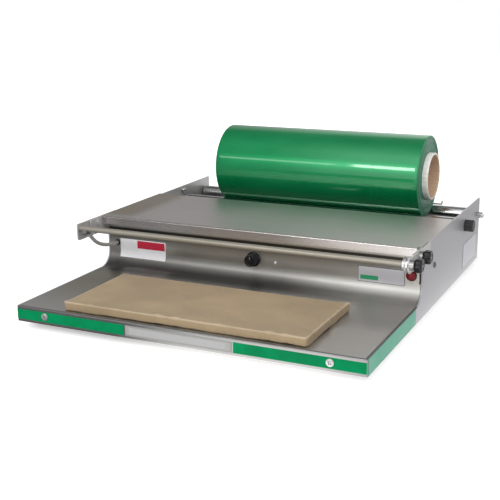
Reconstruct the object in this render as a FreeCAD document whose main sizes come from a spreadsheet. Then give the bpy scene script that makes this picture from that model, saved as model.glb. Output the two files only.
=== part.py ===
"""Tabletop film wrapper: a heated pad on a bent steel tray, a heated cut-off rod on two arms in
front of a raised deck, and a film roll that lies on two rollers behind it. Millimetres, +Z up.
The origin lies on the floor below the middle of the whole machine.
Formulas count from the machine's corner: x from the left side panel's outer face, y backwards
from the front flange's face, z up from the side panels' lower edge."""
import FreeCAD, Part
import math
import os
import re
import Sketcher

SIZES = {
    # Housing
    "body_width": 571.5,
    "body_depth": 640,
    "side_height": 116,
    "foot_height": 12,
    "sheet": 1.5,
    "side_sheet": 2.5,
    "bend_radius": 1,
    "seam_gap": 0.8,
    "tray_height": 26.3,
    "cove_radius": 28,
    "panel_setback": 260,
    "front_fold": 12,
    "top_fold": 16,
    "side_fold": 15,
    "rear_fold": 8,
    "rear_panel_drop": 21,
    "corner_radius": 3,
    "nose_reach": 21,
    "nose_depth": 26,
    # Deck
    "deck_overhang": 21,
    "deck_gap": 84,
    "lip_drop": 13.5,
    "lip_inset": 4.7,
    "lip_notch": 9,
    "deck_tail": 24,
    # Base pan and feet
    "pan_sheet": 1.2,
    "slot_length": 60,
    "slot_width": 5,
    "slot_pitch": 14,
    "slot_count": 6,
    "slot_setback": 300,
    "foot_inset_x": 60,
    "foot_inset_y": 70,
    "foot_top_radius": 13,
    "foot_bottom_radius": 11,
    "foot_screw_head": 3,
    # Seal pad
    "pad_left": 85,
    "pad_right": 88.5,
    "pad_setback": 8,
    "pad_rear": 88,
    "standoff_height": 2.2,
    "standoff_radius": 8,
    "standoff_inset": 30,
    "board_thickness": 4,
    "heater_thickness": 1.5,
    "heater_inset": 14,
    "plate_thickness": 5,
    "cover_thickness": 1.5,
    "cover_slack": 0.3,
    "cover_corner": 7,
    # Arms and cut-off rod
    "arm_sheet": 2,
    "arm_gap": 1,
    "arm_reach": 55,
    "arm_tail": 62,
    "arm_rise": 7.6,
    "left_arm_fall": 21,
    "left_arm_corner": 5,
    "right_arm_fall": 14,
    "right_arm_corner": 7,
    "pivot_inset": 34,
    "pivot_drop": 7,
    "rod_reach": 48,
    "rod_drop": 0.5,
    "rod_diameter": 9.5,
    "rod_wall": 1,
    "rod_plug_length": 10,
    "rod_heater_diameter": 6.8,
    "collar_diameter": 20,
    "collar_length": 8.5,
    "collar_groove": 1,
    "rib_depth": 0.5,
    "boot_radius": 4.25,
    "boot_length": 6,
    "boot_offset": 11,
    "boot_angle": 53,
    "lead_run": 6,
    "lead_tail": 9,
    # Hand knobs and fasteners
    "knob_diameter": 21.5,
    "knob_length": 12.5,
    "lobe_count": 6,
    "lobe_gap_radius": 5,
    "lobe_gap_depth": 1.2,
    "knob_spacer_radius": 8.5,
    "rod_spacer_length": 6.7,
    "pivot_spacer_length": 6.2,
    "stud_diameter": 6,
    "stud_head": 3,
    "screw_diameter": 4,
    "screw_length": 9,
    "trim_screw_radius": 5.75,
    "trim_screw_head": 2.6,
    "low_head": 2.2,
    "nut_thickness": 3,
    # Fits
    "spin_clearance": 0.05,
    "seat_clearance": 0.1,
    # Film cradle
    "roller_inset": 24,
    "roller_spacing": 88,
    "roller_drop": 28,
    "roller_diameter": 25,
    "roller_wall": 2,
    "bush_length": 12,
    "axle_diameter": 8,
    "axle_spacer": 3.8,
    "axle_spacer_radius": 8,
    "axle_end": 5.2,
    "end_float": 0.2,
    "brake_knob_radius": 10.5,
    "brake_knob_length": 15.5,
    "brake_knob_gap": 0.3,
    "flute_count": 12,
    "flute_radius": 1.6,
    "acorn_radius": 5.7,
    "acorn_length": 13.5,
    # Film roll
    "roll_left": 92,
    "roll_right": 80.5,
    "roll_radius": 74.1,
    "core_radius": 43,
    "core_bore": 39,
    "core_overhang": 9.7,
    "rest_gap": 0.3,
    # Film guide wire
    "wire_radius": 1.2,
    "wire_overrun": 11,
    "wire_end_rise": 6.5,
    "wire_inset": 5.5,
    "wire_lift": 3.5,
    "clip_width": 8,
    "clip_wall": 1.3,
    "clip_inset": 60.5,
    # Controls on the front panel
    "dial_left": 284.4,
    "dial_height": 64.3,
    "dial_radius": 12.5,
    "dial_length": 15,
    "dial_gap": 1,
    "dial_bush_radius": 4.5,
    "dial_shaft_radius": 3,
    "thermostat_width": 42,
    "thermostat_height": 36,
    "thermostat_depth": 28,
    "signal_offset": 39.6,
    "signal_height": 62.3,
    "signal_radius": 2.3,
    "lamp_inset": 18,
    "lamp_height": 67,
    "lamp_radius": 7.6,
    "lamp_dome": 6,
    "lamp_rim": 1,
    "lamp_rim_length": 1.6,
    "lamp_body_radius": 6,
    "lamp_body_length": 24,
    "slit_width": 2.2,
    "slit_low": 54.5,
    "slit_high": 79,
    "grommet_left": 18.8,
    "grommet_height": 66.2,
    "grommet_radius": 5.5,
    "grommet_flange": 1.5,
    "sleeve_radius": 3.25,
    # Plates and trim
    "film": 0.4,
    "film_gap": 0.2,
    "trim_thickness": 0.5,
    "trim_low": 5,
    "trim_height": 16,
    "trim_left_end": 194.7,
    "trim_right_length": 197,
    "centre_plate_gap": 2.3,
    "left_plate_width": 91.5,
    "left_plate_low": 42,
    "left_plate_height": 32.4,
    "right_plate_inset": 28.5,
    "right_plate_width": 76,
    "right_plate_low": 49,
    "right_plate_height": 25.5,
    "trim_screw_inset": 52,
    "trim_screw_height": 14,
    "side_trim_rear": 34,
    "side_trim_low": 1.2,
    "side_trim_height": 24,
    "data_plate_inset": 18,
    "data_plate_width": 101,
    "data_plate_low": 10,
    "data_plate_height": 44,
    "side_screw_setback": 326,
    "side_screw_height": 69,
    "side_screw_radius": 4.8,
    "dome_lead": 4,
    "dome_drop": 7,
    "dome_radius": 4.6,
    "dome_length": 7.5,
    # Mains entry
    "gland_inset": 71.5,
    "gland_height": 40,
    "gland_radius": 10,
    "gland_bore": 4.3,
    "gland_reach": 16,
    "gland_thread_radius": 8,
    "gland_tail": 12,
    "block_length": 60,
    "block_depth": 22,
    "block_height": 18,
    "block_left": 110,
    "block_setback": 330,
}

# Places that follow from the sizes, each a formula of sizes and of the places before it.
SPOTS = {
    "left_reach": "axle_end",
    "right_reach": "arm_gap + arm_sheet + rod_spacer_length + knob_length",
    "left_x": "(left_reach - body_width - right_reach) / 2",
    "front_reach": "trim_thickness + trim_screw_head",
    "front_y": "(front_reach - body_depth - gland_reach) / 2",
    "low_z": "foot_height",
    "inner_left": "side_sheet",
    "inner_right": "body_width - side_sheet",
    "tray_left": "inner_left + seam_gap",
    "tray_right": "inner_right - seam_gap",
    "side_front": "sheet + bend_radius + seam_gap",
    "deck_top": "side_height + sheet",
    "deck_setback": "panel_setback - deck_overhang",
    "rear_panel_height": "side_height - rear_panel_drop",
    "roller_height": "side_height - roller_drop",
    "rear_roller_setback": "body_depth - roller_inset",
    "roller_setback": "rear_roller_setback - roller_spacing",
    "deck_rear": "roller_setback - deck_gap",
    "nose_low": "side_height - nose_depth",
    "pan_top": "side_sheet + pan_sheet",
    "pad_width": "body_width - pad_left - pad_right",
    "pad_depth": "panel_setback - pad_setback - pad_rear",
    "board_low": "tray_height + standoff_height",
    "heater_low": "board_low + board_thickness",
    "plate_low": "heater_low + heater_thickness",
    "plate_top": "plate_low + plate_thickness",
    "cover_top": "plate_top + cover_slack + cover_thickness",
    "plate_margin": "cover_thickness + cover_slack",
    "pivot_setback": "panel_setback - pivot_inset",
    "pivot_height": "side_height - pivot_drop",
    "nose_front": "pivot_setback - nose_reach",
    "rod_setback": "pivot_setback - rod_reach",
    "rod_height": "pivot_height - rod_drop",
    "rod_radius": "rod_diameter / 2",
    "rod_inner": "rod_radius - rod_wall",
    "stud_radius": "stud_diameter / 2",
    "screw_radius": "screw_diameter / 2",
    "pivot_grip": "side_sheet + arm_gap + arm_sheet",
    "arm_left": "0 - arm_gap",
    "arm_right": "body_width + arm_gap",
    "arm_left_face": "arm_left - arm_sheet",
    "arm_right_face": "arm_right + arm_sheet",
    "rod_knob_left": "arm_right_face + rod_spacer_length",
    "pivot_knob_left": "arm_right_face + pivot_spacer_length",
    "axle_radius": "axle_diameter / 2",
    "roller_radius": "roller_diameter / 2",
    "roller_bore": "roller_radius - roller_wall",
    "roller_left": "inner_left + axle_spacer + end_float",
    "roller_right": "inner_right - axle_spacer - end_float",
    "roll_setback": "roller_setback + roller_spacing / 2",
    "roll_width": "body_width - roll_left - roll_right",
    "roll_rise": "sqrt((roll_radius + roller_radius + rest_gap) ^ 2 - (roller_spacing / 2) ^ 2)",
    "roll_height": "roller_height + roll_rise",
    "wire_height": "rear_panel_height + wire_lift",
    "wire_middle": "roll_left + roll_width / 2",
    "wire_half_span": "roll_width / 2 + wire_overrun",
    "wire_setback": "body_depth - wire_inset",
    "clip_spread": "wire_half_span - clip_inset",
    "signal_left": "dial_left + signal_offset",
    "lamp_left": "body_width - lamp_inset",
    "slit_left": "tray_right - slit_width",
    "left_plate_start": "grommet_left + grommet_radius + seam_gap",
    "right_plate_start": "body_width - right_plate_inset - right_plate_width",
    "trim_right_start": "body_width - trim_right_length",
    "data_plate_start": "body_depth - data_plate_inset - data_plate_width",
    "side_trim_start": "side_front + bend_radius",
    "side_trim_length": "panel_setback - side_trim_start - side_trim_rear",
    "dome_setback": "roller_setback - dome_lead",
    "dome_height": "side_height - dome_drop",
    "gland_left": "body_width - gland_inset",
}

ALONG_X = FreeCAD.Rotation()
ALONG_Y = FreeCAD.Rotation(FreeCAD.Vector(0, 0, 1), 90)
FACING_FRONT = FreeCAD.Rotation(FreeCAD.Vector(0, 0, 1), -90)
FACING_LEFT = FreeCAD.Rotation(FreeCAD.Vector(0, 0, 1), 180)
UPRIGHT = FreeCAD.Rotation(FreeCAD.Vector(0, 1, 0), -90)
NEAR = 1e-4
TIGHT_BEND = 0.3
WIDE_BEND = 0.45
# The lead's sag: shares of its way from the rod's outlet to the grommet, across, back and down.
LEAD_SAG = [(0.064, 0.146, 0.4275), (0.192, 0.371, 0.7686), (0.449, 0.616, 0.9466),
            (0.795, 0.8014, 0.991)]
WORD = re.compile(r"[a-z]\w+")

nodes = {}


def formula(text):
    """A formula with each size and place written as the document names it."""
    def full_name(match):
        word = match.group(0)
        if word in SIZES:
            return "Size." + word
        if word in SPOTS:
            return "Spot." + word
        return word
    return WORD.sub(full_name, str(text))


def make_size_sheet(doc):
    """The driving sizes, one row each."""
    sheet = doc.addObject("Spreadsheet::Sheet", "Size")
    for row, (name, value) in enumerate(SIZES.items(), start=1):
        sheet.set("A%d" % row, name)
        sheet.set("B%d" % row, str(value))
        sheet.setAlias("B%d" % row, name)
    doc.recompute()
    return sheet


def make_spots(doc):
    """The places that follow from the sizes."""
    spots = doc.addObject("App::VarSet", "Spot")
    for name, text in SPOTS.items():
        spots.addProperty("App::PropertyFloat", name)
        spots.setExpression(name, formula(text))
    doc.recompute()
    return spots


def place(thing, x, y, z):
    """Put a piece at a point counted from the machine's corner."""
    thing.setExpression("Placement.Base.x", formula("left_x + " + x))
    thing.setExpression("Placement.Base.y", formula("front_y + " + y))
    thing.setExpression("Placement.Base.z", formula("low_z + " + z))


def new_body(doc, label, x="0", y="0", z="0", turn=ALONG_X):
    body = doc.addObject("PartDesign::Body", label)
    body.Placement = FreeCAD.Placement(FreeCAD.Vector(), turn)
    place(body, x, y, z)
    return body


def new_sketch(body, plane):
    """A sketch on one of the body's own origin planes."""
    sketch = body.newObject("Sketcher::SketchObject", body.Name + "_outline")
    support = [part for part in body.Origin.OriginFeatures if part.Role == plane]
    sketch.AttachmentSupport = [(support[0], "")]
    sketch.MapMode = "FlatFace"
    return sketch


def pin(sketch, geometry, point, across, up):
    """Fix a sketch point by two bound distances from the origin."""
    for kind, text in (("DistanceX", across), ("DistanceY", up)):
        number = sketch.addConstraint(Sketcher.Constraint(kind, -1, 1, geometry, point, 1.0))
        sketch.setExpression("Constraints[%d]" % number, formula(text))


def draw_outline(sketch, points):
    """A closed outline of straight lines, each corner pinned to its own formulas."""
    first = sketch.GeometryCount
    count = len(points)
    ring = [FreeCAD.Vector(math.cos(2 * math.pi * i / count), math.sin(2 * math.pi * i / count), 0)
            for i in range(count)]
    for i in range(count):
        sketch.addGeometry(Part.LineSegment(ring[i], ring[(i + 1) % count]), False)
    for i in range(count):
        joined = Sketcher.Constraint("Coincident", first + i, 2, first + (i + 1) % count, 1)
        sketch.addConstraint(joined)
    for i, point in enumerate(points):
        pin(sketch, first + i, 1, point[0], point[1])


def draw_circle(sketch, across, up, radius):
    """A hole or boss circle with its centre and radius bound."""
    circle = Part.Circle(FreeCAD.Vector(1, 1, 0), FreeCAD.Vector(0, 0, 1), 1)
    number = sketch.addGeometry(circle, False)
    pin(sketch, number, 3, across, up)
    size = sketch.addConstraint(Sketcher.Constraint("Radius", number, 1.0))
    sketch.setExpression("Constraints[%d]" % size, formula(radius))


def rectangle(left, low, width, height):
    """The four corners of a box outline."""
    right = "%s + %s" % (left, width)
    top = "%s + %s" % (low, height)
    return [(left, low), (right, low), (right, top), (left, top)]


def round_corners(doc, body, sketch, points, on_edge):
    """Round the edges that grew from each outline corner that carries a radius."""
    radii = []
    for i, point in enumerate(points):
        if len(point) == 3 and point[2] not in radii:
            radii.append(point[2])
    for radius in radii:
        corners = [sketch.Placement.multVec(sketch.getPoint(i, 1))
                   for i, point in enumerate(points) if len(point) == 3 and point[2] == radius]
        shape = body.Tip.Shape
        picked = ["Edge%d" % (number + 1) for number, edge in enumerate(shape.Edges)
                  if any(on_edge(edge, corner) for corner in corners)]
        base = body.Tip
        rounding = body.newObject("PartDesign::Fillet", body.Name + "_bend")
        rounding.Base = (base, picked)
        rounding.setExpression("Radius", formula(radius))
        doc.recompute()


def extrude(doc, body, plane, points, length):
    """Pad an outline, then round its corners along the pad."""
    sketch = new_sketch(body, plane)
    draw_outline(sketch, points)
    pad = body.newObject("PartDesign::Pad", body.Name + "_pad")
    pad.Profile = sketch
    pad.setExpression("Length", formula(length))
    doc.recompute()
    along = sketch.Placement.Rotation.multVec(FreeCAD.Vector(0, 0, 1))

    def on_edge(edge, corner):
        if edge.Curve.TypeId != "Part::GeomLine":
            return False
        line = edge.Vertexes[1].Point - edge.Vertexes[0].Point
        if line.cross(along).Length > NEAR * line.Length:
            return False
        return (corner - edge.Vertexes[0].Point).cross(along).Length < NEAR
    round_corners(doc, body, sketch, points, on_edge)
    return pad


def folded(doc, label, plane, points, length, x="0", y="0", z="0"):
    """A piece of one cross-section, such as a bent sheet."""
    body = new_body(doc, label, x, y, z)
    extrude(doc, body, plane, points, length)
    nodes[label] = body
    return body


def turned(doc, label, points, x, y, z, turn=ALONG_X):
    """A round piece: half its section, as distance along and radius, turned about its axis."""
    body = new_body(doc, label, x, y, z, turn)
    sketch = new_sketch(body, "XY_Plane")
    draw_outline(sketch, points)
    turning = body.newObject("PartDesign::Revolution", label + "_turning")
    turning.Profile = sketch
    turning.ReferenceAxis = (sketch, ["H_Axis"])
    turning.Angle = 360
    doc.recompute()

    def on_edge(edge, corner):
        if edge.Curve.TypeId != "Part::GeomCircle":
            return False
        centre = edge.Curve.Center
        return abs(centre.x - corner.x) < NEAR and abs(edge.Curve.Radius - corner.y) < NEAR
    round_corners(doc, body, sketch, points, on_edge)
    nodes[label] = body
    return body


def cut(doc, body, plane, outlines=(), circles=()):
    """Cut outlines and circles right through a body, both ways from a plane."""
    before = body.Tip.Shape.Volume
    sketch = new_sketch(body, plane)
    for outline in outlines:
        draw_outline(sketch, outline)
    for circle in circles:
        draw_circle(sketch, *circle)
    pocket = body.newObject("PartDesign::Pocket", body.Name + "_cut")
    pocket.Profile = sketch
    pocket.Midplane = True
    pocket.Type = "ThroughAll"
    doc.recompute()
    if pocket.Shape.Volume > before - NEAR:
        raise RuntimeError(body.Label + ": a cut removed nothing")
    return pocket


def tube(doc, label, outer, inner, length, x, y, z, turn=ALONG_X):
    """A plain ring, bush, washer or spacer."""
    section = [("0", inner), (length, inner), (length, outer), ("0", outer)]
    return turned(doc, label, section, x, y, z, turn)


def group(doc, label, pieces):
    """Identical pieces that share one node."""
    part = doc.addObject("Part::Feature", label)
    part.Shape = Part.makeCompound(pieces)
    nodes[label] = part
    return part


def copies(master, moves):
    """The same piece moved to each place."""
    return [master.Shape.translated(FreeCAD.Vector(*move)) for move in moves]


def make_chassis(doc):
    """One bent sheet: front flange, tray, cove, front panel and a fold under the deck."""
    outer = "bend_radius + sheet"
    points = [
        ("0", "0", outer),
        ("0", "tray_height", outer),
        ("panel_setback", "tray_height", "cove_radius"),
        ("panel_setback", "side_height", outer),
        ("panel_setback + top_fold", "side_height"),
        ("panel_setback + top_fold", "side_height - sheet"),
        ("panel_setback + sheet", "side_height - sheet", "bend_radius"),
        ("panel_setback + sheet", "tray_height - sheet", "cove_radius + sheet"),
        ("sheet", "tray_height - sheet", "bend_radius"),
        ("sheet", "sheet", "bend_radius"),
        ("front_fold", "sheet"),
        ("front_fold", "0"),
    ]
    body = folded(doc, "chassis_sheet", "YZ_Plane", points, "body_width")
    past = "body_depth"
    notch_start = "bend_radius + sheet"
    strips = [rectangle("0 - sheet", notch_start, "tray_left + sheet", past),
              rectangle("tray_right", notch_start, "tray_left + sheet", past)]
    lead_hole = ("pad_left + pad_width / 2", "pad_setback + pad_depth / 2", "gland_bore")
    cut(doc, body, "XY_Plane", strips, [lead_hole])
    slit = rectangle("slit_left", "slit_low", "slit_width + sheet", "slit_high - slit_low")
    screw_hole = "screw_radius + seat_clearance"
    circles = [
        ("trim_screw_inset", "trim_screw_height", screw_hole),
        ("body_width - trim_screw_inset", "trim_screw_height", screw_hole),
        ("dial_left", "dial_height", "dial_bush_radius + seat_clearance"),
        ("signal_left", "signal_height", "screw_radius"),
        ("lamp_left", "lamp_height", "lamp_body_radius + seat_clearance"),
        ("grommet_left", "grommet_height", "sleeve_radius + grommet_flange"),
    ]
    cut(doc, body, "XZ_Plane", [slit], circles)


def side_outline():
    """Low beside the tray, up along the cove, a nose under the deck's lip, level to the rear."""
    return [
        ("side_front", "0"),
        ("side_front", "tray_height", "bend_radius"),
        ("panel_setback", "tray_height", "cove_radius"),
        ("panel_setback", "nose_low", "corner_radius"),
        ("nose_front", "nose_low", "corner_radius"),
        ("nose_front", "side_height", "corner_radius"),
        ("body_depth", "side_height", "bend_radius"),
        ("body_depth", "0", "bend_radius"),
    ]


def make_side_panel(doc, label, x, fold_left, extra_hole):
    """A side plate with a fold along its foot that carries the base pan."""
    body = folded(doc, label, "YZ_Plane", side_outline(), "side_sheet", x)
    sketch = new_sketch(body, "XY_Plane")
    fold_depth = "body_depth - 2 * front_fold - 4 * sheet"
    fold_start = "front_fold + 2 * sheet"
    draw_outline(sketch, rectangle(fold_left, fold_start, "side_fold", fold_depth))
    fold = body.newObject("PartDesign::Pad", label + "_fold")
    fold.Profile = sketch
    fold.setExpression("Length", formula("side_sheet"))
    doc.recompute()
    axle_hole = "axle_radius + seat_clearance"
    circles = [
        ("pivot_setback", "pivot_height", "stud_radius + seat_clearance"),
        ("roller_setback", "roller_height", axle_hole),
        ("rear_roller_setback", "roller_height", axle_hole),
        extra_hole,
    ]
    cut(doc, body, "YZ_Plane", circles=circles)


def make_side_panels(doc):
    screw_hole = "screw_radius + seat_clearance"
    make_side_panel(doc, "left_side_panel", "0", "side_sheet - seam_gap",
                    ("dome_setback", "dome_height", screw_hole))
    make_side_panel(doc, "right_side_panel", "inner_right", "seam_gap - side_fold",
                    ("side_screw_setback", "side_screw_height", screw_hole))


def make_rear_panel(doc):
    """A low sheet between the side plates, folded forward at its head and foot."""
    outer = "bend_radius + sheet"
    points = [
        ("body_depth", "0", outer),
        ("body_depth", "rear_panel_height", outer),
        ("body_depth - rear_fold", "rear_panel_height"),
        ("body_depth - rear_fold", "rear_panel_height - sheet"),
        ("body_depth - sheet", "rear_panel_height - sheet", "bend_radius"),
        ("body_depth - sheet", "sheet", "bend_radius"),
        ("body_depth - rear_fold", "sheet"),
        ("body_depth - rear_fold", "0"),
    ]
    body = folded(doc, "rear_panel", "YZ_Plane", points, "tray_right - tray_left", "tray_left")
    hole = ("gland_left - tray_left", "gland_height", "gland_thread_radius + seat_clearance")
    cut(doc, body, "XZ_Plane", circles=[hole])


def make_deck(doc):
    """The raised deck: a front lip, a flat top over the side plates and a fold down behind."""
    outer = "bend_radius + sheet"
    points = [
        ("deck_setback", "deck_top - lip_drop"),
        ("deck_setback", "deck_top", outer),
        ("deck_rear", "deck_top", outer),
        ("deck_rear", "deck_top - deck_tail"),
        ("deck_rear - sheet", "deck_top - deck_tail"),
        ("deck_rear - sheet", "side_height", "bend_radius"),
        ("deck_setback + sheet", "side_height", "bend_radius"),
        ("deck_setback + sheet", "deck_top - lip_drop"),
    ]
    body = folded(doc, "top_deck", "YZ_Plane", points, "body_width")
    front = "deck_setback - sheet"
    depth = "lip_notch + sheet"
    tail = "deck_rear - sheet - bend_radius"
    past = "sheet + deck_tail"
    notches = [
        rectangle("0 - sheet", front, "lip_inset + sheet", depth),
        rectangle("body_width - lip_inset", front, "lip_inset + sheet", depth),
        rectangle("0 - sheet", tail, "tray_left + sheet", past),
        rectangle("tray_right", tail, "tray_left + sheet", past),
    ]
    cut(doc, body, "XY_Plane", notches)


def foot_places(sheet):
    """The four corners where a foot stands, counted from the front left one."""
    across = sheet.body_width - 2 * sheet.foot_inset_x
    along = sheet.body_depth - 2 * sheet.foot_inset_y
    return [(0, 0, 0), (across, 0, 0), (0, along, 0), (across, along, 0)]


def make_base_pan(doc):
    """The closing sheet underneath, on the side plates' folds, with a field of vent slots."""
    left = "tray_left + seam_gap"
    front = "front_fold + 3 * sheet"
    width = "tray_right - tray_left - 2 * seam_gap"
    depth = "body_depth - rear_fold - front_fold - 5 * sheet"
    body = folded(doc, "base_pan", "XY_Plane", rectangle(left, front, width, depth),
                  "pan_sheet", z="side_sheet")
    hole = "screw_radius + seat_clearance"
    circles = [(x, y, hole)
               for x in ("foot_inset_x", "body_width - foot_inset_x")
               for y in ("foot_inset_y", "body_depth - foot_inset_y")]
    cut(doc, body, "XY_Plane", circles=circles)
    slot = rectangle("(body_width - slot_length) / 2", "slot_setback", "slot_length", "slot_width")
    first = cut(doc, body, "XY_Plane", [slot])
    base = body.Tip
    pattern = body.newObject("PartDesign::LinearPattern", "vent_slots")
    pattern.Originals = [first]
    across = [part for part in body.Origin.OriginFeatures if part.Role == "Y_Axis"]
    pattern.Direction = (across[0], [""])
    pattern.Mode = "Spacing"
    pattern.setExpression("Offset", formula("slot_pitch"))
    pattern.setExpression("Occurrences", formula("slot_count"))
    body.Tip = pattern
    doc.recompute()
    if pattern.Shape.Volume > base.Shape.Volume - NEAR:
        raise RuntimeError("the vent slots cut nothing")


def make_feet(doc, sheet):
    """Four rubber feet, each with a screw from below through the base pan."""
    top = "foot_height + side_sheet"
    recess = "foot_height / 2"
    hole = "screw_radius + seat_clearance"
    head = "2 * screw_radius"
    foot = turned(doc, "foot_master", [
        ("0", head + " + sheet"),
        (recess, head + " + sheet"),
        (recess, hole),
        (top, hole),
        (top, "foot_top_radius"),
        ("bend_radius", "foot_bottom_radius"),
        ("0", "foot_bottom_radius - bend_radius"),
    ], "foot_inset_x", "foot_inset_y", "0 - foot_height", UPRIGHT)
    screw_top = "foot_height / 2 + pan_top + 2 * sheet"
    screw = turned(doc, "foot_screw_master", [
        ("0 - foot_screw_head", "0"),
        ("0 - foot_screw_head", head),
        ("0", head),
        ("0", "screw_radius"),
        (screw_top, "screw_radius"),
        (screw_top, "0"),
    ], "foot_inset_x", "foot_inset_y", "0 - foot_height / 2", UPRIGHT)
    moves = foot_places(sheet)
    del nodes["foot_master"], nodes["foot_screw_master"]
    group(doc, "rubber_feet", copies(foot, moves))
    group(doc, "foot_screws", copies(screw, moves))


def hex_nut(doc, label, radius, thickness, bore, x, y, z, turn=ALONG_X):
    """A six-sided nut made along its own +Z, then turned and placed."""
    block = doc.addObject("Part::Prism", label + "_hexagon")
    block.Polygon = 6
    block.setExpression("Circumradius", formula(radius))
    block.setExpression("Height", formula(thickness))
    drill = doc.addObject("Part::Cylinder", label + "_bore")
    drill.setExpression("Radius", formula(bore))
    drill.setExpression("Height", formula(thickness))
    nut = doc.addObject("Part::Cut", label)
    nut.Base = block
    nut.Tool = drill
    nut.Placement = FreeCAD.Placement(FreeCAD.Vector(), turn)
    place(nut, x, y, z)
    doc.recompute()
    nodes[label] = nut
    return nut


def make_seal_pad(doc, sheet, spots):
    """Standoffs, insulation board, flat heater and hot plate, under a loose cloth cover."""
    disc = turned(doc, "standoff_master", [
        ("0", "0"), ("standoff_height", "0"),
        ("standoff_height", "standoff_radius"), ("0", "standoff_radius"),
    ], "pad_left + standoff_inset", "pad_setback + standoff_inset", "tray_height", UPRIGHT)
    del nodes["standoff_master"]
    across = spots.pad_width - 2 * sheet.standoff_inset
    along = spots.pad_depth - 2 * sheet.standoff_inset
    corners = [(0, 0, 0), (across, 0, 0), (0, along, 0), (across, along, 0)]
    group(doc, "pad_standoffs", copies(disc, corners))
    layers = [
        ("insulation_board", "board_low", "board_thickness", "plate_margin"),
        ("plate_heater", "heater_low", "heater_thickness", "heater_inset"),
        ("seal_plate", "plate_low", "plate_thickness", "plate_margin"),
    ]
    for label, low, thickness, margin in layers:
        outline = rectangle("pad_left + " + margin, "pad_setback + " + margin,
                            "pad_width - 2 * (%s)" % margin, "pad_depth - 2 * (%s)" % margin)
        folded(doc, label, "XY_Plane", outline, thickness, z=low)
    rounded = [(x, y, "cover_corner") for x, y in
               rectangle("pad_left", "pad_setback", "pad_width", "pad_depth")]
    cover = folded(doc, "seal_pad_cover", "XY_Plane", rounded,
                   "cover_top - board_low - cover_slack", z="board_low + cover_slack")
    hollow = new_sketch(cover, "XY_Plane")
    draw_outline(hollow, rectangle("pad_left + cover_thickness", "pad_setback + cover_thickness",
                                   "pad_width - 2 * cover_thickness",
                                   "pad_depth - 2 * cover_thickness"))
    before = cover.Tip.Shape.Volume
    pocket = cover.newObject("PartDesign::Pocket", "cover_hollow")
    pocket.Profile = hollow
    pocket.Reversed = True
    pocket.setExpression("Length", formula("plate_top - board_low"))
    doc.recompute()
    if pocket.Shape.Volume > before - NEAR:
        raise RuntimeError("the cover's hollow cut nothing")


def make_arm(doc, label, x):
    """A flat arm outside a side panel, from its pivot forward to the rod."""
    fall = "0 - %s_fall" % label
    points = [
        ("0 - arm_reach", fall, label + "_corner"),
        ("arm_tail", fall, "bend_radius"),
        ("arm_tail", "arm_rise", "bend_radius"),
        ("0 - arm_reach", "arm_rise", "bend_radius"),
    ]
    body = folded(doc, label, "YZ_Plane", points, "arm_sheet", x, "pivot_setback", "pivot_height")
    hole = "stud_radius + spin_clearance"
    cut(doc, body, "YZ_Plane", circles=[("0", "0", hole), ("0 - rod_reach", "0 - rod_drop", hole)])


def make_rod(doc):
    """The heated tube between the arms, its plugs, heater, collar and end fasteners."""
    y = "rod_setback"
    z = "rod_height"
    span = "arm_right - arm_left"
    tube(doc, "cutoff_rod", "rod_radius", "rod_inner", span, "arm_left", y, z)
    fit = "rod_inner - seat_clearance"
    start = "arm_left + rod_plug_length + sheet"
    heater = [("0", "0"), (span + " - 2 * (rod_plug_length + sheet)", "0"),
              (span + " - 2 * (rod_plug_length + sheet)", "rod_heater_diameter / 2"),
              ("0", "rod_heater_diameter / 2")]
    turned(doc, "rod_heater", heater, start, y, z)
    turned(doc, "rod_left_rivet", [
        ("0 - rod_plug_length", "0"),
        ("0 - rod_plug_length", fit),
        ("0", fit),
        ("0", "stud_radius"),
        ("arm_sheet", "stud_radius"),
        ("arm_sheet", "rod_radius"),
        ("arm_sheet + low_head - bend_radius", "rod_radius"),
        ("arm_sheet + low_head", "rod_radius - bend_radius"),
        ("arm_sheet + low_head", "0"),
    ], "arm_left", y, z, FACING_LEFT)
    stud_end = "arm_sheet + rod_spacer_length + knob_length / 2"
    turned(doc, "rod_stud", [
        ("0 - rod_plug_length", "0"),
        ("0 - rod_plug_length", fit),
        ("0", fit),
        ("0", "stud_radius"),
        (stud_end, "stud_radius"),
        (stud_end, "0"),
    ], "arm_right", y, z)
    tube(doc, "rod_spacer", "knob_spacer_radius", "stud_radius + seat_clearance",
         "rod_spacer_length", "arm_right_face", y, z)
    make_collar(doc, y, z)
    make_boot(doc)


def make_collar(doc, y, z):
    """A ring on the rod inside the right arm, with a V groove round its middle."""
    outer = "collar_diameter / 2"
    turned(doc, "rod_collar", [
        ("0 - collar_length", "rod_radius + spin_clearance"),
        ("0", "rod_radius + spin_clearance"),
        ("0", outer + " - rib_depth"),
        ("0 - rib_depth", outer),
        ("collar_groove - collar_length / 2", outer),
        ("0 - collar_length / 2", outer + " - collar_groove"),
        ("0 - collar_groove - collar_length / 2", outer),
        ("rib_depth - collar_length", outer),
        ("0 - collar_length", outer + " - rib_depth"),
    ], "arm_right", y, z)


def cut_round(doc, body, middle, radius, count):
    """Cut a lengthways hollow and repeat it evenly round the body's own X axis."""
    before = body.Tip.Shape.Volume
    sketch = new_sketch(body, "YZ_Plane")
    draw_circle(sketch, "0", middle, radius)
    hollow = body.newObject("PartDesign::Pocket", body.Name + "_hollow")
    hollow.Profile = sketch
    hollow.Midplane = True
    hollow.Type = "ThroughAll"
    doc.recompute()
    pattern = body.newObject("PartDesign::PolarPattern", body.Name + "_round")
    pattern.Originals = [hollow]
    axis = [part for part in body.Origin.OriginFeatures if part.Role == "X_Axis"]
    pattern.Axis = (axis[0], [""])
    pattern.Angle = 360
    pattern.setExpression("Occurrences", formula(count))
    body.Tip = pattern
    doc.recompute()
    if pattern.Shape.Volume > before - NEAR:
        raise RuntimeError(body.Label + ": the repeated cut removed nothing")


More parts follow.
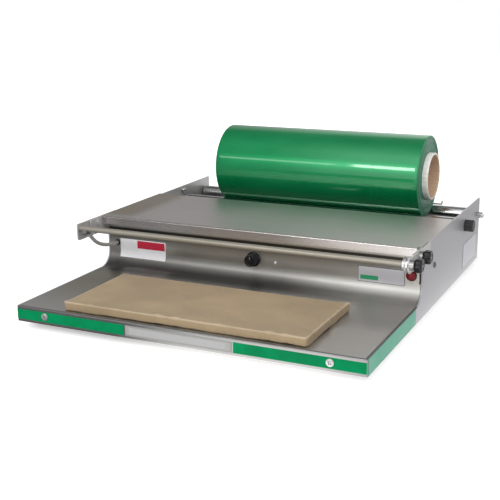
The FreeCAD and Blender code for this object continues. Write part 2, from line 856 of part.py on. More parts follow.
def make_boot(doc):
    """A short outlet on the rod's left end, saddled on the tube, where the lead sleeve starts."""
    spout = doc.addObject("Part::Cylinder", "boot_spout")
    spout.setExpression("Radius", formula("boot_radius"))
    spout.setExpression("Height", formula("rod_radius + boot_length"))
    spout.Placement.Rotation = FreeCAD.Rotation(FreeCAD.Vector(1, 0, 0), 180)
    spout.setExpression("Placement.Rotation.Angle", formula("180 - (90 - boot_angle)"))
    place(spout, "boot_offset", "rod_setback", "rod_height")
    saddle = doc.addObject("Part::Cylinder", "boot_saddle")
    saddle.setExpression("Radius", formula("rod_radius"))
    saddle.setExpression("Height", formula("4 * boot_radius"))
    saddle.Placement.Rotation = FreeCAD.Rotation(FreeCAD.Vector(0, 1, 0), 90)
    place(saddle, "boot_offset - 2 * boot_radius", "rod_setback", "rod_height")
    boot = doc.addObject("Part::Cut", "lead_boot")
    boot.Base = spout
    boot.Tool = saddle
    doc.recompute()
    nodes["lead_boot"] = boot


def make_knob(doc, label, x, y, z):
    """A domed clamp knob with lobes for the fingers, a flange at its foot and a blind bore."""
    outer = "knob_diameter / 2"
    bore = "stud_radius + spin_clearance"
    depth = "knob_length * 0.6"
    body = turned(doc, label, [
        (depth, "0"),
        (depth, bore),
        ("0", bore),
        ("0", outer),
        ("knob_length * 0.2", outer),
        ("knob_length * 0.24", outer + " - bend_radius"),
        ("knob_length", outer + " - bend_radius", "knob_length * 0.45"),
        ("knob_length", "0"),
    ], x, y, z)
    middle = outer + " + lobe_gap_radius - lobe_gap_depth"
    cut_round(doc, body, middle, "lobe_gap_radius", "lobe_count")


def pan_screw(doc, label, head_radius, head, radius, length, x, y, z, turn):
    """A pan-head screw whose head's seat lies at its place; the head points along its turn."""
    return turned(doc, label, [
        ("0 - (%s)" % length, "0"),
        ("0 - (%s)" % length, radius),
        ("0", radius),
        ("0", head_radius),
        ("0.4 * (%s)" % head, head_radius),
        (head, "%s - 0.6 * (%s)" % (head_radius, head)),
        (head, "0"),
    ], x, y, z, turn)


def make_pivots(doc):
    """What holds the arms: a stud with a clamp knob on the right, a shoulder rivet on the left."""
    y = "pivot_setback"
    z = "pivot_height"
    stud_end = "pivot_grip + pivot_spacer_length + knob_length / 2"
    turned(doc, "pivot_stud", [
        ("0 - stud_head", "0"),
        ("0 - stud_head", "2 * stud_radius - sheet"),
        ("0", "2 * stud_radius - sheet"),
        ("0", "stud_radius"),
        (stud_end, "stud_radius"),
        (stud_end, "0"),
    ], "inner_right", y, z)
    tube(doc, "pivot_spacer", "knob_spacer_radius", "stud_radius + seat_clearance",
         "pivot_spacer_length", "arm_right_face", y, z)
    turned(doc, "left_pivot_rivet", [
        ("0 - pivot_grip - low_head", "0"),
        ("0 - pivot_grip - low_head", "2 * stud_radius - sheet"),
        ("0 - pivot_grip", "2 * stud_radius - sheet"),
        ("0 - pivot_grip", "stud_radius"),
        ("0", "stud_radius"),
        ("0", "2 * stud_radius - sheet"),
        ("low_head - bend_radius", "2 * stud_radius - sheet"),
        ("low_head", "2 * stud_radius - sheet - bend_radius"),
        ("low_head", "0"),
    ], "arm_left_face", y, z, FACING_LEFT)
    washer = tube(doc, "washer_master", "2 * stud_radius + bend_radius",
                  "stud_radius + seat_clearance", "arm_gap", "arm_left", y, z)
    return washer


def make_pivot_washers(doc, sheet, washer):
    """One washer between each arm and its side panel."""
    del nodes["washer_master"]
    moves = [(0, 0, 0), (sheet.body_width + sheet.arm_gap, 0, 0)]
    group(doc, "pivot_washers", copies(washer, moves))


def make_roller(doc, label, y):
    """A chromed tube with two bushes that run on a fixed axle."""
    z = "roller_height"
    bush_bore = "axle_radius + spin_clearance"
    tube(doc, label, "roller_radius", "roller_bore", "roller_right - roller_left",
         "roller_left", y, z)
    left = tube(doc, label + "_bush_left", "roller_bore", bush_bore, "bush_length",
                "roller_left", y, z)
    right = tube(doc, label + "_bush_right", "roller_bore", bush_bore, "bush_length",
                 "roller_right - bush_length", y, z)
    for name in ("_bush_left", "_bush_right"):
        del nodes[label + name]
    group(doc, label + "_bushes", [left.Shape, right.Shape])


def make_axle(doc, label, y, right_end):
    """A plain axle through both side panels."""
    end = "body_width + axle_end + " + right_end
    turned(doc, label, [
        ("0", "0"),
        (end, "0"),
        (end, "axle_radius - rib_depth"),
        (end + " - rib_depth", "axle_radius"),
        ("rib_depth", "axle_radius"),
        ("0", "axle_radius - rib_depth"),
    ], "0 - axle_end", y, "roller_height")


def make_cradle(doc, sheet, spots):
    """Two rollers on axles across the rear of the machine, a brake knob and the axle nuts."""
    make_roller(doc, "front_roller", "roller_setback")
    make_roller(doc, "rear_roller", "rear_roller_setback")
    bore = "axle_radius + seat_clearance"
    spacer = tube(doc, "spacer_master", "axle_spacer_radius", bore, "axle_spacer",
                  "inner_left", "roller_setback", "roller_height")
    nut = hex_nut(doc, "nut_master", "axle_spacer_radius", "nut_thickness", bore,
                  "0", "roller_setback", "roller_height",
                  FreeCAD.Rotation(FreeCAD.Vector(0, 1, 0), -90))
    del nodes["spacer_master"], nodes["nut_master"]
    rear = (0, sheet.roller_spacing, 0)
    rear_right = (spots.inner_right - sheet.axle_spacer - spots.inner_left,
                  sheet.roller_spacing, 0)
    group(doc, "axle_spacers", copies(spacer, [(0, 0, 0), rear, rear_right]))
    group(doc, "axle_nuts", copies(nut, [(0, 0, 0), rear]))
    make_axle(doc, "front_axle", "roller_setback", "brake_knob_gap + brake_knob_length / 2")
    make_axle(doc, "rear_axle", "rear_roller_setback", "acorn_length / 2")
    tube(doc, "brake_disc", "roller_radius - rib_depth", bore, "axle_spacer",
         "inner_right - axle_spacer", "roller_setback", "roller_height")
    make_brake_knob(doc)
    depth = "acorn_length / 2 + bend_radius"
    turned(doc, "acorn_nut", [
        (depth, "0"),
        (depth, bore),
        ("0", bore),
        ("0", "acorn_radius"),
        ("acorn_length", "acorn_radius", "0.8 * acorn_radius"),
        ("acorn_length", "0"),
    ], "body_width", "rear_roller_setback", "roller_height")


def make_brake_knob(doc):
    """A fluted hand knob on the front axle that presses the brake disc on the roller."""
    depth = "brake_knob_length / 2 + bend_radius"
    body = turned(doc, "brake_knob", [
        (depth, "0"),
        (depth, "axle_radius + spin_clearance"),
        ("0", "axle_radius + spin_clearance"),
        ("0", "brake_knob_radius"),
        ("brake_knob_length - bend_radius", "brake_knob_radius"),
        ("brake_knob_length", "brake_knob_radius - bend_radius"),
        ("brake_knob_length", "0"),
    ], "body_width + brake_knob_gap", "roller_setback", "roller_height")
    cut_round(doc, body, "brake_knob_radius + flute_radius / 2", "flute_radius", "flute_count")


def make_film_roll(doc):
    """A loaded roll of film on a card core, resting on both rollers."""
    y = "roll_setback"
    z = "roll_height"
    tube(doc, "film_roll", "roll_radius", "core_radius + spin_clearance", "roll_width",
         "roll_left", y, z)
    tube(doc, "film_core", "core_radius", "core_bore", "roll_width + 2 * core_overhang",
         "roll_left - core_overhang", y, z)


def tangent_path(points, share):
    """Straight runs joined by tangent arcs, which take a share of the runs beside them."""
    edges = []
    radii = []
    start = points[0]
    for before, corner, after in zip(points, points[1:], points[2:]):
        inward = (corner - before).normalize()
        outward = (after - corner).normalize()
        shorter = min((corner - before).Length, (after - corner).Length)
        trim = share * shorter
        turn = inward.getAngle(outward)
        radii.append(trim / math.tan(turn / 2))
        enter = corner - inward * trim
        leave = corner + outward * trim
        towards = (outward - inward).normalize()
        middle = corner + towards * (radii[-1] / math.cos(turn / 2) - radii[-1])
        edges.append(Part.LineSegment(start, enter).toShape())
        edges.append(Part.Arc(enter, middle, leave).toShape())
        start = leave
    edges.append(Part.LineSegment(start, points[-1]).toShape())
    return Part.Wire(edges), radii


def sweep_round(doc, label, points, radius, share):
    """A round tube or wire along a path, checked against its section times its length."""
    path, radii = tangent_path(points, share)
    ring = Part.Wire([Part.Circle(points[0], points[1] - points[0], radius).toShape()])
    shape = path.makePipeShell([ring], True, False)
    expected = math.pi * radius ** 2 * path.Length
    if abs(shape.Volume - expected) > 0.01 * expected:
        raise RuntimeError(label + ": the swept volume is wrong")
    print(label, "length", round(path.Length, 1), "arc radii", [round(r, 1) for r in radii])
    part = doc.addObject("Part::Feature", label)
    part.Shape = shape
    nodes[label] = part


def corner_point(spots, x, y, z):
    """A point counted from the machine's corner."""
    return FreeCAD.Vector(spots.left_x + x, spots.front_y + y, spots.low_z + z)


def make_wire_guide(doc, sheet, spots):
    """A long wire over the rear panel that steadies the roll's ends, held in two clips."""
    y = spots.wire_setback
    low = spots.wire_height
    high = low + sheet.wire_end_rise
    left = spots.wire_middle - spots.wire_half_span
    right = spots.wire_middle + spots.wire_half_span
    ends = [(left, high), (left, low), (right, low), (right, high)]
    sweep_round(doc, "wire_guide", [corner_point(spots, x, y, z) for x, z in ends],
                sheet.wire_radius, TIGHT_BEND)
    outline = [
        ("0 - clip_wall - wire_radius", "0"),
        ("clip_wall + wire_radius", "0"),
        ("clip_wall + wire_radius", "wire_lift + wire_radius + clip_wall", "bend_radius"),
        ("0 - clip_wall - wire_radius", "wire_lift + wire_radius + clip_wall", "bend_radius"),
    ]
    clip = folded(doc, "clip_master", "YZ_Plane", outline, "clip_width",
                  "wire_middle - clip_spread - clip_width / 2", "wire_setback",
                  "rear_panel_height")
    cut(doc, clip, "YZ_Plane", circles=[("0", "wire_lift", "wire_radius + seat_clearance")])
    del nodes["clip_master"]
    group(doc, "wire_clips", copies(clip, [(0, 0, 0), (2 * spots.clip_spread, 0, 0)]))


def make_thermostat(doc):
    """A boxed thermostat behind the front panel, its bush and shaft, and its round dial knob."""
    z = "dial_height"
    outline = rectangle("0 - thermostat_width / 2", "0 - thermostat_height / 2",
                        "thermostat_width", "thermostat_height")
    body = new_body(doc, "thermostat_body", "dial_left", "panel_setback + sheet", z)
    extrude(doc, body, "XZ_Plane", outline, "thermostat_depth")
    body.Tip.Reversed = True
    for radius, length in (("dial_bush_radius", "sheet"),
                           ("dial_shaft_radius", "sheet + dial_gap + dial_length / 2")):
        boss = new_sketch(body, "XZ_Plane")
        draw_circle(boss, "0", "0", radius)
        pad = body.newObject("PartDesign::Pad", "thermostat_boss")
        pad.Profile = boss
        pad.setExpression("Length", formula(length))
        doc.recompute()
    nodes["thermostat_body"] = body
    bore = "dial_shaft_radius + spin_clearance"
    depth = "dial_length / 2 + bend_radius"
    turned(doc, "thermostat_knob", [
        (depth, "0"),
        (depth, bore),
        ("0", bore),
        ("0", "dial_radius"),
        ("dial_length", "dial_radius - bend_radius", "2 * bend_radius"),
        ("dial_length", "0"),
    ], "dial_left", "panel_setback - dial_gap", z, FACING_FRONT)


def make_pilot_lamp(doc):
    """A snap-in pilot lamp: body through the panel with a thin rim, and a domed lens."""
    y = "panel_setback"
    z = "lamp_height"
    tail = "0 - lamp_body_length"
    rim = "lamp_radius + lamp_rim"
    turned(doc, "pilot_lamp_body", [
        (tail, "0"),
        (tail, "lamp_body_radius"),
        ("0", "lamp_body_radius"),
        ("0", rim),
        ("lamp_rim_length", rim),
        ("lamp_rim_length", "0"),
    ], "lamp_left", y, z, FACING_FRONT)
    turned(doc, "pilot_lamp_lens", [
        ("0", "0"),
        ("0", "lamp_radius"),
        ("lamp_dome", "lamp_radius", "0.7 * lamp_dome"),
        ("lamp_dome", "0"),
    ], "lamp_left", y + " - lamp_rim_length", z, FACING_FRONT)
    pan_screw(doc, "signal_stud", "signal_radius", "sheet", "screw_radius - seat_clearance",
              "screw_length", "signal_left", y, "signal_height", FACING_FRONT)


def make_grommet(doc):
    """A rubber ring in the front panel where the rod's lead goes in."""
    groove = "sleeve_radius + grommet_flange - seat_clearance"
    bore = "sleeve_radius + seat_clearance"
    back = "0 - sheet - grommet_flange"
    turned(doc, "lead_grommet", [
        (back, bore),
        (back, "grommet_radius"),
        ("0 - sheet", "grommet_radius"),
        ("0 - sheet", groove),
        ("0", groove),
        ("0", "grommet_radius"),
        ("grommet_flange - rib_depth", "grommet_radius"),
        ("grommet_flange", "grommet_radius - rib_depth"),
        ("grommet_flange", bore),
    ], "grommet_left", "panel_setback", "grommet_height", FACING_FRONT)


def make_lead_sleeve(doc, sheet, spots):
    """The glass-fibre sleeve from the rod's outlet, sagging back into the grommet."""
    tilt = math.radians(sheet.boot_angle)
    reach = spots.rod_radius + sheet.boot_length
    start = (sheet.boot_offset, spots.rod_setback + reach * math.cos(tilt),
             spots.rod_height - reach * math.sin(tilt))
    end = (sheet.grommet_left, sheet.panel_setback, sheet.grommet_height)
    sag = [tuple(a + (b - a) * share for a, b, share in zip(start, end, shares))
           for shares in LEAD_SAG]
    route = [start] + sag + [
        (end[0], end[1] - sheet.lead_run, end[2]),
        (end[0], end[1] + sheet.lead_tail, end[2]),
    ]
    points = [corner_point(spots, *point) for point in route]
    sweep_round(doc, "lead_sleeve", points, sheet.sleeve_radius, WIDE_BEND)


def make_front_plates(doc):
    """Thin bare plates on the front panel that follow it down into the cove."""
    back = "panel_setback - film_gap"
    face = "panel_setback - film_gap - film"
    top = "side_height - lip_drop"
    front = "panel_setback - 2 * cove_radius"
    plates = []
    for name in ("left", "right"):
        start = name + "_plate_start"
        width = name + "_plate_width"
        band = new_body(doc, name + "_plate_band", start)
        extrude(doc, band, "YZ_Plane", [
            (front, "tray_height + film_gap"),
            (back, "tray_height + film_gap", "cove_radius - film_gap"),
            (back, top),
            (face, top),
            (face, "tray_height + film_gap + film", "cove_radius - film_gap - film"),
            (front, "tray_height + film_gap + film"),
        ], width)
        window = doc.addObject("Part::Box", name + "_plate_window")
        window.setExpression("Length", formula(width))
        window.setExpression("Width", formula("cove_radius"))
        window.setExpression("Height", formula(name + "_plate_height"))
        place(window, start, "panel_setback - cove_radius", name + "_plate_low")
        plate = doc.addObject("Part::Common", name + "_front_plate")
        plate.Base = band
        plate.Tool = window
        doc.recompute()
        plates.append(plate.Shape)
    group(doc, "front_plates", plates)


def make_trim(doc, sheet):
    """Coloured bands on the front flange and low on both sides, and the flange's bare plate."""
    hole = "screw_radius + seat_clearance"
    centre = "trim_left_end + centre_plate_gap"
    bands = [
        ("left_trim_band", "0", "trim_left_end", "trim_screw_inset"),
        ("right_trim_band", "trim_right_start", "body_width - trim_right_start",
         "body_width - trim_screw_inset"),
        ("centre_plate", centre, "trim_right_start - trim_left_end - 2 * centre_plate_gap", None),
    ]
    for label, left, width, screw in bands:
        outline = rectangle(left, "trim_low", width, "trim_height")
        body = folded(doc, label, "XZ_Plane", outline, "trim_thickness")
        if screw:
            cut(doc, body, "XZ_Plane", circles=[(screw, "trim_screw_height", hole)])
    low_band = rectangle("side_trim_start", "side_trim_low", "side_trim_length",
                         "side_trim_height")
    folded(doc, "left_side_band", "YZ_Plane", low_band, "trim_thickness", "0 - trim_thickness")
    folded(doc, "right_side_band", "YZ_Plane", low_band, "trim_thickness", "body_width")
    names = ("left_trim_band", "right_trim_band", "left_side_band", "right_side_band")
    group(doc, "colour_trim", [nodes.pop(name).Shape for name in names])
    screw = pan_screw(doc, "trim_screw_master", "trim_screw_radius", "trim_screw_head",
                      "screw_radius", "screw_length", "trim_screw_inset", "0 - trim_thickness",
                      "trim_screw_height", FACING_FRONT)
    del nodes["trim_screw_master"]
    across = sheet.body_width - 2 * sheet.trim_screw_inset
    group(doc, "trim_screws", copies(screw, [(0, 0, 0), (across, 0, 0)]))


def make_side_details(doc):
    """A bare data plate and a pan screw on the right side, a dome bolt inside the left one."""
    plate = rectangle("data_plate_start", "data_plate_low", "data_plate_width",
                      "data_plate_height")
    folded(doc, "data_plate", "YZ_Plane", plate, "film", "body_width")
    pan_screw(doc, "side_screw", "side_screw_radius", "trim_screw_head", "screw_radius",
              "screw_length", "body_width", "side_screw_setback", "side_screw_height", ALONG_X)
    turned(doc, "dome_bolt", [
        ("0 - side_sheet", "0"),
        ("0 - side_sheet", "screw_radius"),
        ("0", "screw_radius"),
        ("0", "dome_radius"),
        ("dome_length", "dome_radius", "0.8 * dome_radius"),
        ("dome_length", "0"),
    ], "inner_left", "dome_setback", "dome_height")


def make_mains_entry(doc):
    """A snap-in cord gland in the rear panel, and a terminal block on the base pan."""
    y = "body_depth"
    z = "gland_height"
    tail = "0 - gland_tail"
    turned(doc, "cord_gland", [
        (tail, "gland_bore"),
        ("gland_reach", "gland_bore"),
        ("gland_reach", "gland_radius * 0.8"),
        ("gland_reach * 0.4", "gland_radius * 0.9"),
        ("gland_reach * 0.35", "gland_radius"),
        ("0", "gland_radius"),
        ("0", "gland_thread_radius"),
        (tail, "gland_thread_radius"),
    ], "gland_left", y, z, ALONG_Y)
    block = rectangle("block_left", "block_setback", "block_length", "block_depth")
    folded(doc, "terminal_block", "XY_Plane", block, "block_height", z="pan_top")


def build(doc):
    sheet = make_size_sheet(doc)
    spots = make_spots(doc)
    make_chassis(doc)
    make_side_panels(doc)
    make_rear_panel(doc)
    make_deck(doc)
    make_base_pan(doc)
    make_feet(doc, sheet)
    make_seal_pad(doc, sheet, spots)
    make_arm(doc, "left_arm", "arm_left_face")
    make_arm(doc, "right_arm", "arm_right")
    make_rod(doc)
    washer = make_pivots(doc)
    make_pivot_washers(doc, sheet, washer)
    make_knob(doc, "rod_knob", "rod_knob_left", "rod_setback", "rod_height")
    make_knob(doc, "pivot_knob", "pivot_knob_left", "pivot_setback", "pivot_height")
    make_cradle(doc, sheet, spots)
    make_film_roll(doc)
    make_wire_guide(doc, sheet, spots)
    make_thermostat(doc)
    make_pilot_lamp(doc)
    make_grommet(doc)
    make_lead_sleeve(doc, sheet, spots)
    make_front_plates(doc)
    make_trim(doc, sheet)
    make_side_details(doc)
    make_mains_entry(doc)
    doc.recompute()


def check(doc):
    """Stop on a failed object or a bad solid before anything is written."""
    for thing in doc.Objects:
        if "Invalid" in thing.State or "Error" in thing.State:
            raise RuntimeError("%s is %s" % (thing.Name, thing.State))
    for label, node in nodes.items():
        if node.Shape.isNull() or not node.Shape.isValid() or not node.Shape.Solids:
            raise RuntimeError(label + " is not a valid solid")


def write():
    os.makedirs("parts", exist_ok=True)
    for label, node in nodes.items():
        node.Label = label
        node.Shape.exportStep("parts/%s.step" % label)
        box = node.Shape.BoundBox
        print("%-24s %d solid(s)  x %.1f..%.1f  y %.1f..%.1f  z %.1f..%.1f" % (
            label, len(node.Shape.Solids), box.XMin, box.XMax, box.YMin, box.YMax,
            box.ZMin, box.ZMax))


document = FreeCAD.newDocument("FilmWrapper")
build(document)
check(document)
write()
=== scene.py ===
"""Looks for a tabletop film wrapper: brushed steel housing, cloth-covered hot pad, heated rod on
two arms, and a green film roll on two chrome rollers. Metres, in the frame of the pack."""

import math
import random

import bmesh
import bpy
from mathutils import Matrix, Vector, noise


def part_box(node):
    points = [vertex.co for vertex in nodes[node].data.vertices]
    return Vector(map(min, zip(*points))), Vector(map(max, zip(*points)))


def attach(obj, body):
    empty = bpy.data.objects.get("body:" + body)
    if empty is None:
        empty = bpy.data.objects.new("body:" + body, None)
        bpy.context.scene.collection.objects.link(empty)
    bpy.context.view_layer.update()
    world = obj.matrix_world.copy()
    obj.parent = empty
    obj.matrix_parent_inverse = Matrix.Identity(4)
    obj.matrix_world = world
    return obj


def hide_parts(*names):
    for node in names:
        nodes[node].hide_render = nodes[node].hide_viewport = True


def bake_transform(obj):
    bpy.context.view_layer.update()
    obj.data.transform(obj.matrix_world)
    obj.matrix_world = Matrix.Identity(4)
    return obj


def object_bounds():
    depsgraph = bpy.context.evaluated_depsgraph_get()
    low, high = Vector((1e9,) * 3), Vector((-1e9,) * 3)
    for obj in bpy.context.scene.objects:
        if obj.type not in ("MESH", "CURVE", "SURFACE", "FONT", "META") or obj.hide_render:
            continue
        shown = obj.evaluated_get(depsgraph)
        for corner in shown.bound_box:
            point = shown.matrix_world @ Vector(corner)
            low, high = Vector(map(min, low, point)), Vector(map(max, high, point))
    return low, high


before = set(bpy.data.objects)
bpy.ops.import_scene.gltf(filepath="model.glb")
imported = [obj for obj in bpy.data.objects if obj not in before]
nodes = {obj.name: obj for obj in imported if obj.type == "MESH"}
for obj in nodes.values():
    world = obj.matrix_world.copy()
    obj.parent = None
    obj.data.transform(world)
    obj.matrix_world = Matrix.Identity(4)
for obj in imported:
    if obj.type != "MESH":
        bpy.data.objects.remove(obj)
cad_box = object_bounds()
MM = 0.001
X, Y, Z = 0, 1, 2

# Camera, worked out from the picture's straight edges
EYE = Vector((0.65458, -1.46475, 0.51236))
YAW, PITCH, ROLL = math.radians(25.6242), math.radians(15.1981), math.radians(-0.7326)
FOCAL_PIXELS = 970.82
FRAME_PIXELS = 500
SENSOR_WIDTH = 36

# Soft lamps: name, azimuth, elevation, distance, width, height, power, seen in reflections.
# Azimuth 0 is in front of the machine and 90 on its right.
SOFTBOXES = [
    ("key", 8, 34, 2.6, 2.4, 1.0, 26, False),
    ("overhead", 10, 72, 1.9, 1.8, 1.0, 7.5, False),
    ("left_fill", -60, 30, 2.4, 1.2, 1.2, 12, False),
    ("right_fill", 75, 25, 2.4, 1.0, 1.4, 8.5, True),
]
# Narrow lamps that the film shows as bright lines: name, left, right, height, power
STREAKS = [
    ("streak_left", -1.50, -0.88, 0.20, 1.7),
    ("streak_right", -0.80, -0.36, 0.28, 6.5),
]
STREAK_Y, STREAK_Z = -2.11, 1.25
ROLL_Y, ROLL_Z = 0.2455, 0.175
PLAIN_FILL = 0.50

# Colours, linear
STEEL = (0.52, 0.51, 0.485)
TRAY_LEFT_PAINTED_SHADE = (0.28, 0.255, 0.205)
COVE_PAINTED_SHADE = (0.17, 0.166, 0.155)
FLANGE_PAINTED_SHADE = (0.27, 0.27, 0.265)
DECK_PALE = (0.545, 0.515, 0.500)
DECK_PAINTED_REFLECTION = (0.36, 0.315, 0.26)
SIDE_STEEL = (0.39, 0.385, 0.405)
SIDE_GAP_SHADOW = (0.11, 0.10, 0.10)
LEFT_SIDE_PAINTED_LIGHT = (0.50, 0.49, 0.495)
ARM_STEEL = (0.52, 0.515, 0.505)
TRIM_SCREW_STEEL = (0.50, 0.495, 0.49)
SPACER_GREY = (0.46, 0.455, 0.45)
BRIGHT_STEEL = (0.60, 0.60, 0.61)
DARK_STEEL = (0.20, 0.20, 0.21)
SHADE = (0.045, 0.042, 0.038)
DULL_STEEL = (0.36, 0.35, 0.34)
ROD_STEEL = (0.35, 0.325, 0.275)
ALLOY = (0.72, 0.72, 0.74)
TRIM_GREEN = (0.0, 0.215, 0.076)
SIDE_BAND_PAINTED_LIGHT = (0.12, 0.40, 0.28)
FILM_GREEN = (0.003, 0.255, 0.080)
FILM_GREEN_THICK = (0.010, 0.275, 0.095)
FILM_EDGE_DARK = (0.008, 0.115, 0.058)
FILM_EDGE_PALE = (0.075, 0.25, 0.16)
CLOTH_TAN = (0.318, 0.234, 0.138)
CLOTH_FOLD = (0.50, 0.41, 0.295)
SLEEVE_GREY = (0.36, 0.35, 0.325)
CARD_PALE = (0.90, 0.86, 0.83)
CARD_TAN = (0.66, 0.47, 0.32)
BLACK_PLASTIC = (0.006, 0.006, 0.008)
DARK_PLASTIC = (0.030, 0.027, 0.028)
RUBBER_BLACK = (0.02, 0.02, 0.02)
BOOT_PAINTED_SHADE = (0.13, 0.13, 0.13)
BOARD_BEIGE = (0.45, 0.40, 0.33)
CERAMIC_CREAM = (0.62, 0.60, 0.55)
DOT_WHITE = (0.85, 0.85, 0.85)
POINTER_GREY = (0.30, 0.30, 0.29)
LAMP_RED = (0.17, 0.001, 0.006)
PLATE_WHITE = (0.78, 0.78, 0.80)
PLATE_GREY = (0.50, 0.49, 0.51)
BAND_RED = (0.50, 0.015, 0.045)
FIELD_GREEN = (0.03, 0.30, 0.14)
PLATE_EDGE_SHADOW = (0.10, 0.10, 0.11)
CENTRE_EDGE, CENTRE_LINE = (0.30, 0.29, 0.28), (0.24, 0.24, 0.23)
CENTRE_RIM, CENTRE_FIELD = (0.33, 0.325, 0.315), (0.375, 0.37, 0.375)
DATA_EDGE, DATA_FIELD = (0.22, 0.22, 0.24), (0.56, 0.56, 0.60)


# ---- materials

def new_material(name, color, metallic, roughness, **extra):
    """A material with its uniform values set on the shader."""
    material = bpy.data.materials.new(name)
    material.use_nodes = True
    shader = material.node_tree.nodes["Principled BSDF"]
    shader.inputs["Base Color"].default_value = (*color, 1)
    shader.inputs["Metallic"].default_value = metallic
    shader.inputs["Roughness"].default_value = roughness
    for socket, value in extra.items():
        shader.inputs[socket.replace("_", " ")].default_value = value
    return material


def coordinates(tree, stretch, turn=(0.0, 0.0, 0.0)):
    """Object coordinates, scaled by stretch (cycles per metre along x, y and z) and turned."""
    source = tree.nodes.new("ShaderNodeTexCoord")
    mapping = tree.nodes.new("ShaderNodeMapping")
    mapping.inputs["Scale"].default_value = stretch
    mapping.inputs["Rotation"].default_value = turn
    tree.links.new(source.outputs["Object"], mapping.inputs["Vector"])
    return mapping.outputs["Vector"]


def separated(tree, kind="Object"):
    """Object coordinates, or the world's direction with kind Generated, as x, y and z."""
    source = tree.nodes.new("ShaderNodeTexCoord")
    place = tree.nodes.new("ShaderNodeSeparateXYZ")
    tree.links.new(source.outputs[kind], place.inputs["Vector"])
    return [place.outputs[axis] for axis in "XYZ"]


def noise_of(tree, stretch, detail=3.0, roughness=0.5):
    """Noise with stretch cycles per metre along x, y and z."""
    texture = tree.nodes.new("ShaderNodeTexNoise")
    texture.inputs["Scale"].default_value = 1.0
    texture.inputs["Detail"].default_value = detail
    texture.inputs["Roughness"].default_value = roughness
    tree.links.new(coordinates(tree, stretch), texture.inputs["Vector"])
    return texture.outputs["Fac"]


def wave_of(tree, scale, distortion=0.0, direction="X", turn=(0.0, 0.0, 0.0)):
    wave = tree.nodes.new("ShaderNodeTexWave")
    wave.bands_direction = direction
    wave.inputs["Scale"].default_value = scale
    wave.inputs["Distortion"].default_value = distortion
    tree.links.new(coordinates(tree, (1.0, 1.0, 1.0), turn), wave.inputs["Vector"])
    return wave.outputs["Fac"]


def ranged(tree, value, low, high, start=0.3, end=0.7):
    """value, which runs from start to end, moved to low..high."""
    node = tree.nodes.new("ShaderNodeMapRange")
    node.inputs["From Min"].default_value = start
    node.inputs["From Max"].default_value = end
    node.inputs["To Min"].default_value = low
    node.inputs["To Max"].default_value = high
    tree.links.new(value, node.inputs["Value"])
    return node.outputs["Result"]


def combined(tree, operation, a, b=0.0):
    """A Math node on sockets or numbers."""
    node = tree.nodes.new("ShaderNodeMath")
    node.operation = operation
    for socket, value in zip(node.inputs, (a, b)):
        if isinstance(value, (int, float)):
            socket.default_value = value
        else:
            tree.links.new(value, socket)
    return node.outputs["Value"]


def product(tree, *values):
    result = values[0]
    for value in values[1:]:
        result = combined(tree, "MULTIPLY", result, value)
    return result


def shared(tree, first, second, share):
    """first and second added up, in the parts share and 1 - share."""
    return combined(tree, "ADD", product(tree, first, share), product(tree, second, 1 - share))


def tinted(tree, factor, first, second):
    """The shader's colour runs from first to second with factor."""
    mix = tree.nodes.new("ShaderNodeMix")
    mix.data_type = "RGBA"
    for socket, color in zip((mix.inputs[6], mix.inputs[7]), (first, second)):
        if isinstance(color, tuple):
            socket.default_value = (*color, 1)
        else:
            tree.links.new(color, socket)
    tree.links.new(factor, mix.inputs["Factor"])
    tree.links.new(mix.outputs[2], tree.nodes["Principled BSDF"].inputs["Base Color"])
    return mix.outputs[2]


def shaded(color, share):
    return tuple(channel * share for channel in color)


def add_bump(tree, height, strength, distance):
    """A bump on the shader, over any bump that it already has."""
    shader = tree.nodes["Principled BSDF"]
    bump = tree.nodes.new("ShaderNodeBump")
    bump.inputs["Strength"].default_value = strength
    bump.inputs["Distance"].default_value = distance
    tree.links.new(height, bump.inputs["Height"])
    if shader.inputs["Normal"].links:
        tree.links.new(shader.inputs["Normal"].links[0].from_socket, bump.inputs["Normal"])
    tree.links.new(bump.outputs["Normal"], shader.inputs["Normal"])


def rough_from(tree, value):
    tree.links.new(value, tree.nodes["Principled BSDF"].inputs["Roughness"])


def brushed(name, color, along, roughness, metallic=0.92, grain_depth=0.06):
    """Brushed sheet: long fine streaks along one axis, and faint clouds."""
    material = new_material(name, color, metallic, roughness)
    tree = material.node_tree
    fine, coarse = [2600.0] * 3, [420.0] * 3
    fine[along], coarse[along] = 9.0, 3.0
    clouds = noise_of(tree, (5.0, 6.0, 7.0), 3.0)
    streak = shared(tree, noise_of(tree, fine, 2.0), noise_of(tree, coarse, 2.0), 0.6)
    tinted(tree, ranged(tree, shared(tree, streak, clouds, 0.6), 0.0, 1.0),
           shaded(color, 0.86), shaded(color, 1.12))
    rough_from(tree, ranged(tree, clouds, roughness - 0.05, roughness + 0.07))
    add_bump(tree, streak, grain_depth, 0.0002)
    return material


def between(material, color, *ramps):
    """The colour runs to another where all ramps are up: (axis, none at, full at), in mm."""
    tree = material.node_tree
    base = tree.nodes["Principled BSDF"].inputs["Base Color"].links[0].from_socket
    place = separated(tree)
    shares = []
    for axis, none, full in ramps:
        low, high = (0.0, 1.0) if none < full else (1.0, 0.0)
        shares.append(ranged(tree, place[axis], low, high, min(none, full) * MM,
                             max(none, full) * MM))
    tinted(tree, product(tree, *shares), base, color)


def rescaled(material, axis, limit, share):
    """Below limit, in mm along an axis, the roughness goes to a share of what it is."""
    tree = material.node_tree
    rough = tree.nodes["Principled BSDF"].inputs["Roughness"].links[0].from_socket
    part = ranged(tree, separated(tree)[axis], share, 1.0, (limit - 0.5) * MM, (limit + 0.5) * MM)
    rough_from(tree, product(tree, rough, part))


def polished(name, color, roughness, metallic=1.0):
    """Chrome and bright steel: faint smudges in the gloss."""
    material = new_material(name, color, metallic, roughness)
    tree = material.node_tree
    smudge = noise_of(tree, (22.0, 40.0, 40.0), 3.0)
    rough_from(tree, ranged(tree, smudge, roughness * 0.85, roughness * 1.25))
    tinted(tree, ranged(tree, smudge, 0.0, 1.0), shaded(color, 0.92), color)
    return material


